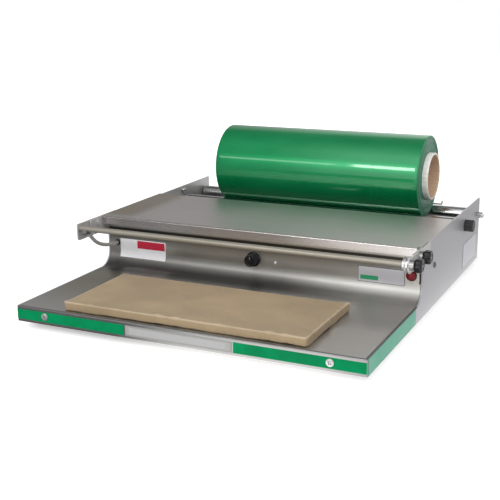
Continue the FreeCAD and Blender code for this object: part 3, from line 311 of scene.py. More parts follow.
def moulded(name, color, roughness, grain, depth, coat=0.0, specular=0.5):
    """Plastic, rubber, ceramic and board: a fine pebble and slightly uneven colour."""
    material = new_material(name, color, 0.0, roughness, Coat_Weight=coat, Coat_Roughness=0.06,
                            Specular_IOR_Level=specular)
    tree = material.node_tree
    pebble = noise_of(tree, (grain, grain, grain), 2.0)
    patches = noise_of(tree, (35.0, 35.0, 35.0), 3.0)
    tinted(tree, ranged(tree, patches, 0.0, 1.0), shaded(color, 0.82), shaded(color, 1.15))
    rough_from(tree, ranged(tree, patches, roughness * 0.85, roughness * 1.2))
    add_bump(tree, pebble, depth, 0.0002)
    return material


def painted(name, color, roughness=0.38):
    """Satin sheet paint with a trace of orange peel."""
    material = new_material(name, color, 0.35, roughness)
    tree = material.node_tree
    peel = noise_of(tree, (500.0, 500.0, 500.0), 1.0)
    clouds = noise_of(tree, (4.0, 5.0, 8.0), 3.0)
    tinted(tree, ranged(tree, clouds, 0.0, 1.0), shaded(color, 0.95), shaded(color, 1.05))
    rough_from(tree, ranged(tree, clouds, roughness - 0.04, roughness + 0.06))
    add_bump(tree, peel, 0.04, 0.0003)
    return material


def checker_weave(tree, pitch):
    """Over-and-under threads in the x-y plane, pitch metres apart."""
    band_spacing = 0.31  # of a wave texture at scale 1
    return combined(tree, "ADD", *(wave_of(tree, band_spacing / pitch, 0.3, direction)
                                   for direction in "XY"))


def coated_cloth(name):
    """Tan heat-proof cloth: fine weave under a smooth coating, worn patches and pale folds."""
    material = new_material(name, CLOTH_TAN, 0.0, 0.52, Sheen_Weight=0.10,
                            Specular_IOR_Level=0.30)
    tree = material.node_tree
    weave = checker_weave(tree, 0.0011)
    blotch = noise_of(tree, (11.0, 15.0, 13.0), 4.0, 0.6)
    fine = noise_of(tree, (240.0, 240.0, 240.0), 3.0)
    worn = shared(tree, blotch, fine, 0.75)
    plain = tinted(tree, ranged(tree, worn, 0.0, 1.0, 0.36, 0.66), shaded(CLOTH_TAN, 0.84),
                   shaded(CLOTH_TAN, 1.10))
    low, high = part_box("seal_pad_cover")
    place = separated(tree)
    beyond = []
    for axis in (X, Y):
        off = combined(tree, "ABSOLUTE", combined(tree, "SUBTRACT", place[axis],
                                                  (low[axis] + high[axis]) / 2))
        beyond.append(combined(tree, "SUBTRACT", off, (high[axis] - low[axis]) / 2))
    rim = ranged(tree, combined(tree, "MAXIMUM", *beyond), 0.0, 1.0, -3.4 * MM, -1.6 * MM)
    top = ranged(tree, place[Z], 0.0, 1.0, high.z - 3.2 * MM, high.z - 1.6 * MM)
    tinted(tree, product(tree, rim, top, ranged(tree, blotch, 0.25, 0.8)), plain, CLOTH_FOLD)
    rough_from(tree, ranged(tree, blotch, 0.44, 0.60))
    add_bump(tree, weave, 0.12, 0.00025)
    return material


def wound_film(name):
    """Glossy tinted film: soft rings of thicker winding, and a slow drift of colour."""
    material = new_material(name, FILM_GREEN, 0.42, 0.30, Coat_Weight=0.8, Coat_Roughness=0.05,
                            IOR=1.5, Specular_IOR_Level=0.2)
    tree = material.node_tree
    rings = noise_of(tree, (90.0, 2.0, 2.0), 3.0)
    drift = noise_of(tree, (7.0, 20.0, 20.0), 3.0)
    tinted(tree, ranged(tree, drift, 0.0, 1.0), shaded(FILM_GREEN, 0.88), FILM_GREEN_THICK)
    rough_from(tree, ranged(tree, drift, 0.26, 0.36))
    add_bump(tree, rings, 0.03, 0.0008)
    return material


def film_ends(name):
    """The roll's end faces: hundreds of film edges as rings, with glints."""
    material = new_material(name, FILM_EDGE_PALE, 0.0, 0.34, Specular_IOR_Level=0.20)
    tree = material.node_tree
    rings = ring_noise(tree)
    tinted(tree, ranged(tree, rings, 0.0, 1.0, 0.32, 0.68), FILM_EDGE_DARK, FILM_EDGE_PALE)
    rough_from(tree, ranged(tree, rings, 0.24, 0.42))
    add_bump(tree, rings, 0.30, 0.0006)
    return material


def ring_noise(tree):
    """Noise by distance from the roll's axis, so that it runs round in rings."""
    low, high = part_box("film_roll")
    place = separated(tree)
    squares = [combined(tree, "POWER", combined(tree, "SUBTRACT", place[axis],
                                                (low[axis] + high[axis]) / 2), 2.0)
               for axis in (Y, Z)]
    radius = combined(tree, "SQRT", combined(tree, "ADD", *squares))
    texture = tree.nodes.new("ShaderNodeTexNoise")
    texture.noise_dimensions = "1D"
    texture.inputs["Scale"].default_value = 900.0
    texture.inputs["Detail"].default_value = 3.0
    tree.links.new(radius, texture.inputs["W"])
    return texture.outputs["Fac"]


def card_material(name, color):
    """Wound card: paper fibres that run mostly along the tube."""
    material = new_material(name, color, 0.0, 0.75)
    tree = material.node_tree
    fibres = noise_of(tree, (90.0, 420.0, 420.0), 4.0)
    tinted(tree, ranged(tree, fibres, 0.0, 1.0), shaded(color, 0.88), shaded(color, 1.12))
    add_bump(tree, fibres, 0.15, 0.0003)
    return material


def inside(tree, place, axes, box):
    """1 inside the box (low, high, low, high) on two axes, in millimetres, and 0 outside it."""
    parts = []
    for axis, low, high in ((axes[0], *box[:2]), (axes[1], *box[2:])):
        parts += [combined(tree, "GREATER_THAN", place[axis], low * MM),
                  combined(tree, "LESS_THAN", place[axis], high * MM)]
    return product(tree, *parts)


def printed(name, color, axes, fields, roughness=0.40):
    """Satin printed film with plain fields of colour, each (box, colour)."""
    material = new_material(name, color, 0.0, roughness, Specular_IOR_Level=0.35)
    tree = material.node_tree
    place = separated(tree)
    mottle = noise_of(tree, (160.0, 160.0, 160.0), 3.0)
    shown = tinted(tree, ranged(tree, mottle, 0.0, 1.0), shaded(color, 0.95), color)
    for box, ink in fields:
        shown = tinted(tree, inside(tree, place, axes, box), shown, ink)
    rough_from(tree, ranged(tree, mottle, roughness - 0.06, roughness + 0.08))
    return material


def braided(name):
    """Glass-fibre sleeving: a fine diagonal braid."""
    material = new_material(name, SLEEVE_GREY, 0.0, 0.6)
    tree = material.node_tree
    braid = combined(tree, "MAXIMUM", *(wave_of(tree, 260.0, turn=(turn, turn, 0.0))
                                        for turn in (0.8, -0.8)))
    tinted(tree, braid, shaded(SLEEVE_GREY, 0.6), shaded(SLEEVE_GREY, 1.25))
    add_bump(tree, braid, 0.4, 0.0004)
    return material


TRAY_STEEL = brushed("steel_sheet", STEEL, X, 0.31, grain_depth=0.03)
# Painted shade under the deck's lip, behind the rod and below it, painted browner shade at the
# left end, painted shade in the cove to the left, duller below, and painted shade on the flange
# face
between(TRAY_STEEL, SHADE, (Z, 108.4, 105.4), (Z, 78.0, 98.0))
# Painted shade: the left end of the sheet darker and browner
between(TRAY_STEEL, TRAY_LEFT_PAINTED_SHADE, (X, -120.0, -260.0), (Y, -330.0, -170.0), (Z, 47.0, 41.0))
# Painted shade: the cove dimmer towards the left
between(TRAY_STEEL, COVE_PAINTED_SHADE, (X, 185.0, 45.0), (Y, -122.5, -89.5), (Z, 78.0, 46.0))
rescaled(TRAY_STEEL, Z, 60.0, 1.22)
# Painted shade: the front flange face darker than the rest of the sheet
between(TRAY_STEEL, FLANGE_PAINTED_SHADE, (Y, -322.5, -325.0))
# The deck has a painted brown reflection at its left end, and its lip is glossier
DECK_STEEL = brushed("deck_sheet", DECK_PALE, X, 0.42, grain_depth=0.02)
between(DECK_STEEL, DECK_PAINTED_REFLECTION, (X, -228.0, -252.0), (Y, -86.5, -60.0))
rescaled(DECK_STEEL, Y, -85.0, 0.60)
# The side panels have a painted shadow line over the colour band, and painted light makes the left
# one paler
SIDE_PAINT = painted("side_panel_finish", SIDE_STEEL)
between(SIDE_PAINT, SIDE_GAP_SHADOW, (Z, 36.9, 37.3), (Z, 42.0, 41.0), (Y, -91.0, -93.0))
# Painted light: the left side panel, and the rear panel's left half, paler than the right
between(SIDE_PAINT, LEFT_SIDE_PAINTED_LIGHT, (X, 0.0, -50.0))
ARM_PAINT = painted("arm_finish", ARM_STEEL)
PAN_ZINC = brushed("zinc_pan", DULL_STEEL, Y, 0.45)
CHROME = polished("roller_steel", BRIGHT_STEEL, 0.20)
ROD_FINISH = brushed("rod_finish", ROD_STEEL, X, 0.40, 0.55, 0.02)
SCREW_STEEL = polished("screw_steel", BRIGHT_STEEL, 0.26)
DARK_SCREW = polished("dark_screw", DARK_STEEL, 0.35)
WIRE_STEEL = polished("wire_steel", DARK_STEEL, 0.30)
TRIM_SCREW = polished("trim_screw", TRIM_SCREW_STEEL, 0.45, 0.7)
ALLOY_TURNED = polished("turned_alloy", ALLOY, 0.34)
SPACER_STEEL = polished("spacer_steel", SPACER_GREY, 0.38)
PLATE_ALLOY = brushed("plate_alloy", ALLOY, X, 0.35)
HEATER = polished("heater_steel", DULL_STEEL, 0.4)
RUBBER = moulded("black_rubber", RUBBER_BLACK, 0.75, 1100.0, 0.15)
KNOB_BLACK = moulded("glossy_black", BLACK_PLASTIC, 0.18, 700.0, 0.01, 0.15, 0.30)
MATT_DARK = moulded("matt_dark_plastic", DARK_PLASTIC, 0.5, 900.0, 0.1)
BOARD = moulded("board", BOARD_BEIGE, 0.85, 500.0, 0.2)
CERAMIC = moulded("ceramic", CERAMIC_CREAM, 0.45, 400.0, 0.05)
CLOTH = coated_cloth("coated_cloth")
FILM = wound_film("wound_film")
FILM_END = film_ends("film_ends")
CARD_OUTSIDE = card_material("card_outside", CARD_PALE)
CARD_BORE = card_material("card_bore", CARD_TAN)
SLEEVING = braided("sleeving")
# The colour band is painted paler round the front corner, on the right side: painted light
GREEN_TAPE = moulded("green_tape", TRIM_GREEN, 0.35, 60.0, 0.0, specular=0.06)
between(GREEN_TAPE, SIDE_BAND_PAINTED_LIGHT, (X, 276.6, 277.0), (Y, -330.0, -326.3))
LENS = moulded("red_lens", LAMP_RED, 0.14, 500.0, 0.01, specular=0.4)
# Painted shade: the boot as dark as the shaded arm behind it
BOOT = moulded("boot_painted_shade", BOOT_PAINTED_SHADE, 0.6, 600.0, 0.1, specular=0.2)
WHITE_DOT = moulded("white_dot", DOT_WHITE, 0.3, 500.0, 0.01)
POINTER_PAINT = moulded("pointer_paint", POINTER_GREY, 0.5, 700.0, 0.03)
FRONT_PLATES = printed("front_plates", PLATE_WHITE, (X, Z), [
    ((-234.5, -179.4, 71.2, 84.9), BAND_RED),
    # Painted shadow round the right plate's edge
    ((172.0, 250.0, 60.0, 88.0), PLATE_EDGE_SHADOW),
    ((173.5, 248.0, 61.8, 85.7), PLATE_GREY),
    ((176.5, 206.0, 65.0, 72.0), FIELD_GREEN),
])
CENTRE_PLATE = printed("centre_plate", CENTRE_EDGE, (X, Z), [
    ((-95.4, 76.1, 18.2, 31.8), CENTRE_LINE),
    ((-94.6, 75.3, 18.9, 31.1), CENTRE_RIM),
    ((-90.0, 68.0, 20.2, 29.8), CENTRE_FIELD),
])
DATA_PLATE = printed("data_plate", DATA_EDGE, (Y, Z), [
    ((195.4, 294.8, 22.8, 65.2), DATA_FIELD),
])

# The nodes that stay as they are, by their materials
DRESS = [
    (TRAY_STEEL, "chassis_sheet"),
    (DECK_STEEL, "top_deck"),
    (SIDE_PAINT, "left_side_panel right_side_panel rear_panel"),
    (PAN_ZINC, "base_pan"),
    (RUBBER, "rubber_feet lead_grommet"),
    (SCREW_STEEL, "foot_screws rod_stud pivot_stud pivot_washers axle_nuts front_axle rear_axle "
                  "acorn_nut dome_bolt"),
    (CERAMIC, "pad_standoffs terminal_block"),
    (BOARD, "insulation_board"),
    (HEATER, "plate_heater rod_heater"),
    (PLATE_ALLOY, "seal_plate"),
    (ARM_PAINT, "left_arm right_arm rod_left_rivet left_pivot_rivet"),
    (ROD_FINISH, "cutoff_rod"),
    (SPACER_STEEL, "rod_spacer pivot_spacer"),
    (ALLOY_TURNED, "rod_collar"),
    (BOOT, "lead_boot"),
    (CHROME, "front_roller rear_roller"),
    (MATT_DARK, "front_roller_bushes rear_roller_bushes axle_spacers brake_disc brake_knob "
                "thermostat_body cord_gland"),
    (WIRE_STEEL, "wire_guide wire_clips"),
    (KNOB_BLACK, "pilot_lamp_body"),
    (WHITE_DOT, "signal_stud"),
    (GREEN_TAPE, "colour_trim"),
    (FRONT_PLATES, "front_plates"),
    (CENTRE_PLATE, "centre_plate"),
    (DATA_PLATE, "data_plate"),
]


# ---- mesh helpers

SHARP_ANGLE = math.radians(35)


def ripple(angle, count):
    """0 to 1 and back, count times round."""
    return 0.5 - 0.5 * math.cos(count * angle)


def finished(name, mesh, materials, body, smooth=True):
    """An object from a mesh, with its material or list of materials, on its body."""
    piece = bpy.data.objects.new(name, mesh)
    bpy.context.scene.collection.objects.link(piece)
    for material in (materials if isinstance(materials, list) else [materials]):
        mesh.materials.append(material)
    if smooth:
        mesh.shade_smooth()
        mesh.set_sharp_from_angle(angle=SHARP_ANGLE)
    if body:
        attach(piece, body)
    return piece


def mesh_from(name, points, faces):
    mesh = bpy.data.meshes.new(name)
    mesh.from_pydata(points, [], faces)
    mesh.update()
    return mesh


def band(first, second, count):
    """Faces between two rings of count points each, which start at first and at second."""
    return [(first + i, first + (i + 1) % count, second + (i + 1) % count, second + i)
            for i in range(count)]


def closed(mesh):
    """Joins the points that meet at an axis, and turns every face outwards."""
    work = bmesh.new()
    work.from_mesh(mesh)
    bmesh.ops.remove_doubles(work, verts=work.verts, dist=1e-7)
    bmesh.ops.dissolve_degenerate(work, edges=work.edges, dist=1e-8)
    bmesh.ops.recalc_face_normals(work, faces=work.faces)
    work.to_mesh(mesh)
    work.free()
    return mesh


def closed_piece(name, points, faces, material, body):
    return finished(name, closed(mesh_from(name, points, faces)), material, body)


def lathe(name, profile, centre, axis, count, shift=None):
    """A round closed mesh about an axis through centre. profile is a ring of (along, radius), and
    shift(along, radius, angle) is added to the radius."""
    first, second = ((1, 2), (2, 0), (0, 1))[axis]
    points, faces = [], []
    rings = len(profile)
    for step in range(count):
        angle = 2 * math.pi * step / count
        for along, radius in profile:
            r = radius + (shift(along, radius, angle) if shift else 0.0)
            point = [0.0, 0.0, 0.0]
            point[axis] = along
            point[first] = centre[first] + r * math.cos(angle)
            point[second] = centre[second] + r * math.sin(angle)
            points.append(point)
    for step in range(count):
        after = (step + 1) % count
        for ring in range(rings):
            up = (ring + 1) % rings
            faces.append((step * rings + ring, step * rings + up, after * rings + up,
                          after * rings + ring))
    return closed(mesh_from(name, points, faces))


def rounded(corners, steps=5):
    """A closed profile from corners (along, radius, fillet)."""
    profile = []
    count = len(corners)
    for i, (along, radius, fillet) in enumerate(corners):
        here = Vector((along, radius))
        if not fillet:
            profile.append(tuple(here))
            continue
        before = Vector(corners[i - 1][:2]) - here
        after = Vector(corners[(i + 1) % count][:2]) - here
        for step in range(steps + 1):
            share = step / steps
            first = here + before.normalized() * fillet * (1 - share)
            second = here + after.normalized() * fillet * share
            profile.append(tuple(first.lerp(second, share)))
    return profile


# ---- camera, lights and stage

def add_camera():
    forward = Vector((-math.sin(YAW) * math.cos(PITCH), math.cos(YAW) * math.cos(PITCH),
                      -math.sin(PITCH)))
    level = Vector((math.cos(YAW), math.sin(YAW), 0))
    up = level.cross(forward)
    across = level * math.cos(ROLL) + up * math.sin(ROLL)
    up = up * math.cos(ROLL) - level * math.sin(ROLL)
    data = bpy.data.cameras.new("camera")
    data.sensor_width = SENSOR_WIDTH
    data.lens = FOCAL_PIXELS / FRAME_PIXELS * SENSOR_WIDTH
    camera = bpy.data.objects.new("camera", data)
    bpy.context.scene.collection.objects.link(camera)
    turn = Matrix((across, up, -forward)).transposed().to_4x4()
    camera.matrix_world = Matrix.Translation(EYE) @ turn
    bpy.context.scene.camera = camera


def add_lamp(name, place, target, width, height, power, glossy):
    """A rectangular lamp at place that faces target."""
    data = bpy.data.lights.new(name, "AREA")
    data.shape = "RECTANGLE"
    data.size, data.size_y = width, height
    data.energy = power
    lamp = bpy.data.objects.new(name, data)
    bpy.context.scene.collection.objects.link(lamp)
    lamp.location = place
    lamp.rotation_mode = "QUATERNION"
    lamp.rotation_quaternion = (target - place).to_track_quat("-Z", "Y")
    lamp.visible_glossy = glossy


def add_lamps():
    middle = (cad_box[0] + cad_box[1]) / 2
    for name, azimuth, elevation, distance, width, height, power, glossy in SOFTBOXES:
        a, e = math.radians(azimuth), math.radians(elevation)
        away = Vector((math.sin(a) * math.cos(e), -math.cos(a) * math.cos(e), math.sin(e)))
        add_lamp(name, middle + away * distance, middle, width, height, power, glossy)
    for name, left, right, height, power in STREAKS:
        x = (left + right) / 2
        add_lamp(name, Vector((x, STREAK_Y, STREAK_Z)), Vector((x, ROLL_Y, ROLL_Z)), right - left,
                 height, power, True)


def ray_kinds(tree):
    """1 for rays that see the background itself, and 1 for rays that see it in a reflection."""
    seen = tree.nodes.new("ShaderNodeLightPath")
    direct = combined(tree, "MAXIMUM", seen.outputs["Is Camera Ray"],
                      seen.outputs["Is Transmission Ray"])
    return direct, seen.outputs["Is Glossy Ray"]


def add_world():
    """White behind the object, a graded room in reflections, and a plain fill on everything."""
    world = bpy.data.worlds.new("studio")
    bpy.context.scene.world = world
    world.use_nodes = True
    tree = world.node_tree
    light = tree.nodes["Background"]
    direct, reflected = ray_kinds(tree)
    x, y, z = separated(tree, "Generated")
    # In front of the machine and behind it: darker at the far left and high up
    ahead = product(tree, ranged(tree, y, 1.0, 0.0, -0.2, 0.2),
                    ranged(tree, x, 0.24, 1.70, -0.41, -0.31),
                    ranged(tree, z, 1.0, 0.30, 0.82, 0.98), ranged(tree, x, 1.0, 0.5, -0.16, 0.06))
    behind = product(tree, ranged(tree, y, 0.0, 1.0, -0.2, 0.2),
                     ranged(tree, x, 0.50, 1.50, -0.44, -0.24),
                     ranged(tree, z, 0.74, 0.16, 0.60, 0.74))
    room = product(tree, reflected, combined(tree, "ADD", ahead, behind))
    plain = product(tree, combined(tree, "SUBTRACT", 1.0, reflected), PLAIN_FILL)
    shown = combined(tree, "MAXIMUM", direct, combined(tree, "ADD", room, plain))
    tree.links.new(shown, light.inputs["Strength"])
    light.inputs["Color"].default_value = (1, 1, 1, 1)


def add_floor():
    """A pale floor that keeps the machine's shadow, graded in reflections as the room is."""
    far = 6
    mesh = mesh_from("floor", [(-far, -far, 0), (far, -far, 0), (far, far, 0), (-far, far, 0)],
                     [(0, 1, 2, 3)])
    material = new_material("pale_floor", (0.86, 0.86, 0.86), 0.0, 0.9)
    tree = material.node_tree
    shader = tree.nodes["Principled BSDF"]
    direct, reflected = ray_kinds(tree)
    x, y, _ = separated(tree)
    away = combined(tree, "SQRT", combined(tree, "ADD", product(tree, x, x), product(tree, y, y)))
    shader.inputs["Emission Color"].default_value = (1, 1, 1, 1)
    tree.links.new(product(tree, direct, ranged(tree, away, 0.45, 1.0, 0.6, 1.6)),
                   shader.inputs["Emission Strength"])
    # Dim left of the machine's middle, bright under its right half, and dim past its side
    mirror = tree.nodes.new("ShaderNodeEmission")
    tree.links.new(product(tree, ranged(tree, x, 0.26, 2.70, -0.13, 0.0),
                           ranged(tree, x, 1.0, 0.24, 0.20, 0.36)), mirror.inputs["Strength"])
    mix = tree.nodes.new("ShaderNodeMixShader")
    tree.links.new(reflected, mix.inputs["Fac"])
    tree.links.new(shader.outputs["BSDF"], mix.inputs[1])
    tree.links.new(mirror.outputs["Emission"], mix.inputs[2])
    tree.links.new(mix.outputs["Shader"], tree.nodes["Material Output"].inputs["Surface"])
    floor = finished("floor", mesh, material, None, smooth=False)


# ---- the film roll

def make_roll():
    """The wound film: soft shoulders, uneven rings on the ends and a loose outer edge."""
    low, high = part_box("film_roll")
    centre = (low + high) / 2
    outer = (high.z - low.z) / 2 - 0.15 * MM
    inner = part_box("film_core")[1].z - centre.z + 0.1 * MM
    soft, end_play = 1.6 * MM, 0.3 * MM
    windings, shoulder_steps, spans = 34, 5, 60
    draw = random.Random(5)
    profile = []
    for end, x, inward in (("left", low.x, 1), ("right", high.x, -1)):
        ring = []
        for step in range(windings + 1):
            radius = inner + (outer - soft - inner) * step / windings
            dent = draw.uniform(0.05, 0.55) * MM
            ring.append((x + inward * dent, radius))
        for step in range(1, shoulder_steps + 1):
            angle = math.pi / 2 * step / shoulder_steps
            ring.append((x + inward * (soft * (1 - math.cos(angle)) + end_play),
                         outer - soft + soft * math.sin(angle)))
        profile += ring if end == "left" else ring[::-1]
    left, right = low.x + soft + end_play, high.x - soft - end_play
    side = []
    for step in range(1, spans):
        x = left + (right - left) * step / spans
        side.append((x, outer + 0.05 * MM * noise.noise(Vector((x * 40, 0, 3)))))
    half = windings + 1 + shoulder_steps
    profile[half:half] = side
    flap_start, flap_width, flap_rise = math.radians(118), math.radians(40), 0.10 * MM

    def shift(x, radius, angle):
        """The last turn of film ends in a step along the roll."""
        if radius < outer - 1.0 * MM:
            return 0.0
        past = (angle - flap_start) % (2 * math.pi)
        return flap_rise if past < flap_width else 0.0

    mesh = lathe("roll_of_film", profile, centre, X, 192, shift)
    roll = finished("roll_of_film", mesh, [FILM, FILM_END], "film_roll")
    for face in mesh.polygons:
        face.material_index = 1 if abs(face.normal.x) > 0.75 else 0
    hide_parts("film_roll")


def make_core():
    """The card tube: rounded ends and the spiral seam of its outer ply."""
    low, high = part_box("film_core")
    centre = (low + high) / 2
    outer = (high.z - low.z) / 2
    bore = outer - 4 * MM
    edge, ease = 0.7 * MM, 0.2 * MM
    spans = 110
    ply, seam_share, seam_depth = 78 * MM, 0.035, 0.22 * MM
    run = [low.x + edge + (high.x - low.x - 2 * edge) * step / spans for step in range(spans + 1)]
    profile = [(low.x, outer - edge), (low.x + ease, outer - ease)]
    profile += [(x, outer) for x in run]
    profile += [(high.x - ease, outer - ease), (high.x, outer - edge)]
    profile += [(high.x, bore + edge), (high.x - ease, bore + ease)]
    profile += [(x, bore) for x in reversed(run)]
    profile += [(low.x + ease, bore + ease), (low.x, bore + edge)]

    def shift(x, radius, angle):
        """A shallow groove where the edges of the ply meet, inside and outside."""
        past = (x / ply - angle / (2 * math.pi)) % 1.0
        if past > seam_share or x in (low.x, high.x):
            return 0.0
        return -seam_depth if radius > (outer + bore) / 2 else seam_depth

    mesh = lathe("card_core", profile, centre, X, 144, shift)
    core = finished("card_core", mesh, [CARD_OUTSIDE, CARD_BORE], "film_roll")
    for face in mesh.polygons:
        away = Vector((0, face.center.y - centre.y, face.center.z - centre.z))
        face.material_index = 1 if face.normal.dot(away) < -0.3 * away.length else 0
    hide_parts("film_core")


# ---- knobs, lamp and screw heads

def make_lobed_knob(name, node):
    """A clamping knob with six soft lobes, a neck and a dished end."""
    low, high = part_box(node)
    centre = (low + high) / 2
    outer = (high.y - low.y) / 2
    profile = rounded([
        (low.x, 0.0, 0), (low.x, outer * 0.70, 0.4 * MM),
        (low.x + 1.4 * MM, outer * 0.92, 0.8 * MM), (low.x + 3.2 * MM, outer, 1.0 * MM),
        (high.x - 0.9 * MM, outer * 0.985, 1.7 * MM), (high.x, outer * 0.74, 1.0 * MM),
        (high.x - 0.9 * MM, outer * 0.50, 0.5 * MM), (high.x - 0.5 * MM, outer * 0.30, 0.6 * MM),
        (high.x - 0.5 * MM, 0.0, 0)])

    def shift(x, radius, angle):
        return 0.0 if radius < outer * 0.55 else -radius * 0.115 * ripple(angle, 6) ** 1.6

    mesh = lathe(name, profile, centre, X, 144, shift)
    knob = finished(name, mesh, KNOB_BLACK, node)
    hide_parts(node)
    face, tip = high.x - 0.6 * MM, 1.3 * MM
    profile = rounded([(face, 0.0, 0), (face, tip, 0), (high.x - 0.1 * MM, tip, 0.45 * MM),
                       (high.x, 0.0, 0)])
    stud_end = name + "_stud_end"
    finished(stud_end, lathe(stud_end, profile, centre, X, 48), SCREW_STEEL, node)


def make_dial():
    """The thermostat's knob: a flange, a fluted grip, a dished face and a painted pointer."""
    low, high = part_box("thermostat_knob")
    centre = (low + high) / 2
    outer = (high.x - low.x) / 2
    grip = outer * 0.84
    face = low.y + 0.8 * MM
    profile = rounded([
        (high.y, 0.0, 0), (high.y, outer, 0.6 * MM), (high.y - 2.2 * MM, outer, 0.7 * MM),
        (high.y - 3.4 * MM, grip, 0.6 * MM), (low.y, grip * 0.96, 1.3 * MM),
        (low.y, grip * 0.74, 0.5 * MM), (face, grip * 0.66, 0.5 * MM), (face, 0.0, 0)])

    def shift(y, radius, angle):
        if y > high.y - 3.0 * MM or radius < grip * 0.85:
            return 0.0
        return -0.45 * MM * ripple(angle, 20) ** 2

    mesh = lathe("dial_knob", profile, centre, Y, 240, shift)
    knob = finished("dial_knob", mesh, KNOB_BLACK, "thermostat_knob")
    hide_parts("thermostat_knob")
    wide, deep, long = 1.4 * MM, 0.35 * MM, grip * 0.42
    work = bmesh.new()
    made = bmesh.ops.create_cube(work, size=1.0)
    for vertex in made["verts"]:
        vertex.co = Vector((centre.x + vertex.co.x * wide, face - deep / 2 + vertex.co.y * deep,
                            centre.z + long + vertex.co.z * long))
    bmesh.ops.bevel(work, geom=work.edges, offset=0.12 * MM, segments=2, affect="EDGES")
    pointer = bpy.data.meshes.new("dial_pointer")
    work.to_mesh(pointer)
    work.free()
    finished("dial_pointer", pointer, POINTER_PAINT, "thermostat_knob")


def make_lens():
    """The pilot lamp's lens: a collar step, a domed front and fine ribs round its side."""
    low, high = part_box("pilot_lamp_lens")
    centre = (low + high) / 2
    outer = (high.x - low.x) / 2
    inner, bulge = outer * 0.93, 2.6 * MM
    profile = []
    for degrees in range(0, 90, 10):
        angle = math.radians(degrees)
        profile.append((low.y + bulge * (1 - math.cos(angle)), inner * math.sin(angle)))
    profile += rounded([(low.y + 3.2 * MM, inner, 0.2 * MM), (low.y + 3.4 * MM, outer, 0.2 * MM),
                        (high.y, outer, 0)])
    profile += [(high.y, 0.0)]

    def shift(y, radius, angle):
        if radius < outer * 0.9 or y > low.y + 3.3 * MM:
            return 0.0
        return -0.16 * MM * ripple(angle, 40)

    mesh = lathe("lamp_lens", profile, centre, Y, 160, shift)
    lens = finished("lamp_lens", mesh, LENS, "root")
    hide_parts("pilot_lamp_lens")


def recess(across, up, radius):
    """0 on a screw's face to 1 on the floor of its cross, at a place off the head's centre."""
    narrow, wide = sorted((abs(across), abs(up)))
    flank = (radius * 0.17 - narrow) / (radius * 0.07)
    end = (radius * 0.60 - wide) / (radius * 0.16)
    return min(1.0, max(0.0, flank)) * min(1.0, max(0.0, end))


def screw_head(centre, axis, sign, radius, rise, turn):
    """The points and faces of a domed head with a cross recess, standing on centre."""
    rings, spokes = 22, 96
    first, second = ((Y, Z), (X, Z), (X, Y))[axis]
    points, faces = [], []

    def put(a, b, height):
        point = list(centre)
        point[axis] += sign * height
        point[first] += a
        point[second] += b
        points.append(point)

    for ring in range(rings + 1):
        share = ring / rings
        dome = rise * (1 - share ** 2.4 * 0.42)
        for spoke in range(spokes):
            angle = 2 * math.pi * spoke / spokes
            deep = recess(radius * share * math.cos(angle - turn),
                          radius * share * math.sin(angle - turn), radius)
            put(radius * share * math.cos(angle), radius * share * math.sin(angle),
                dome - deep * rise * 0.62)
    for height in (rise * 0.30, -0.3 * MM):
        for spoke in range(spokes):
            angle = 2 * math.pi * spoke / spokes
            put(radius * math.cos(angle), radius * math.sin(angle), height)
    for ring in range(rings + 2):
        faces += band(ring * spokes, (ring + 1) * spokes, spokes)
    faces.append(tuple((rings + 2) * spokes + spoke for spoke in range(spokes)))
    return points, faces


def make_screws():
    """The two screws through the front band, the right side's, and the collar's."""
    low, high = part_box("trim_screws")
    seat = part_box("colour_trim")[0].y + 0.3 * MM
    radius = (high.z - low.z) / 2
    points, faces = [], []
    for x, turn in ((low.x + radius, 0.35), (high.x - radius, 0.95)):
        centre = Vector((x, seat, (low.z + high.z) / 2))
        more, joined = screw_head(centre, Y, -1, radius, seat - low.y, turn)
        faces += [tuple(i + len(points) for i in face) for face in joined]
        points += more
    heads = closed_piece("trim_screw_heads", points, faces, TRIM_SCREW, "root")
    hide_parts("trim_screws")
    low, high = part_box("side_screw")
    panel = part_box("right_side_panel")[1].x
    centre = Vector((panel, (low.y + high.y) / 2, (low.z + high.z) / 2))
    made = screw_head(centre, X, 1, (high.z - low.z) / 2, high.x - panel, 0.75)
    head = closed_piece("side_screw_head", *made, DARK_SCREW, "root")
    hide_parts("side_screw")
    low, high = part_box("rod_collar")
    centre = Vector((low.x + 2.9 * MM, (low.y + high.y) / 2, high.z - 0.3 * MM))
    made = screw_head(centre, Z, 1, 1.7 * MM, 1.1 * MM, 0.0)
    closed_piece("collar_set_screw", *made, DARK_SCREW, "cutoff_arm")


# ---- the hot pad's cloth cover

# Corners (side, end, reach, lift), tucks on the front edge and folds on the right one (share
# along it, width, height), in mm
PAD_EARS = [(-1, -1, 2.6, 0.8), (1, -1, 0.8, 0.3), (1, 1, 3.4, 1.0), (-1, 1, 1.2, 0.3)]
PAD_TUCKS = [(0.085, 3.2, -0.4), (0.12, 6.0, 1.5), (0.415, 6.5, 2.3), (0.452, 3.0, -0.5),
             (0.49, 5.6, 2.0), (0.66, 8.0, 0.9), (0.86, 6.0, 1.9), (0.893, 2.8, -0.5),
             (0.925, 4.4, 1.4), (0.968, 3.0, -0.4)]
PAD_FOLDS = [(0.13, 3.0, -0.4), (0.18, 4.2, 2.6), (0.235, 3.0, -0.4), (0.36, 5.5, 1.2),
             (0.50, 5.0, 2.4), (0.56, 3.0, -0.5), (0.74, 5.5, 2.5), (0.80, 3.2, -0.4)]
PAD_CORNER = 3.5 * MM
PAD_EDGE = 1.3 * MM
PAD_INSET = 0.5 * MM
PAD_CLOTH = 0.35 * MM
PAD_SPACING = 1.6 * MM
PAD_GRID = 3 * MM
PAD_TOP_DROP = 0.6 * MM
PAD_HEM = 0.9 * MM
MOST_INWARD = -0.35 * MM


def bell(*offsets):
    """1 at no offset, falling off as a bell on every side."""
    return math.exp(-sum(offset ** 2 for offset in offsets))


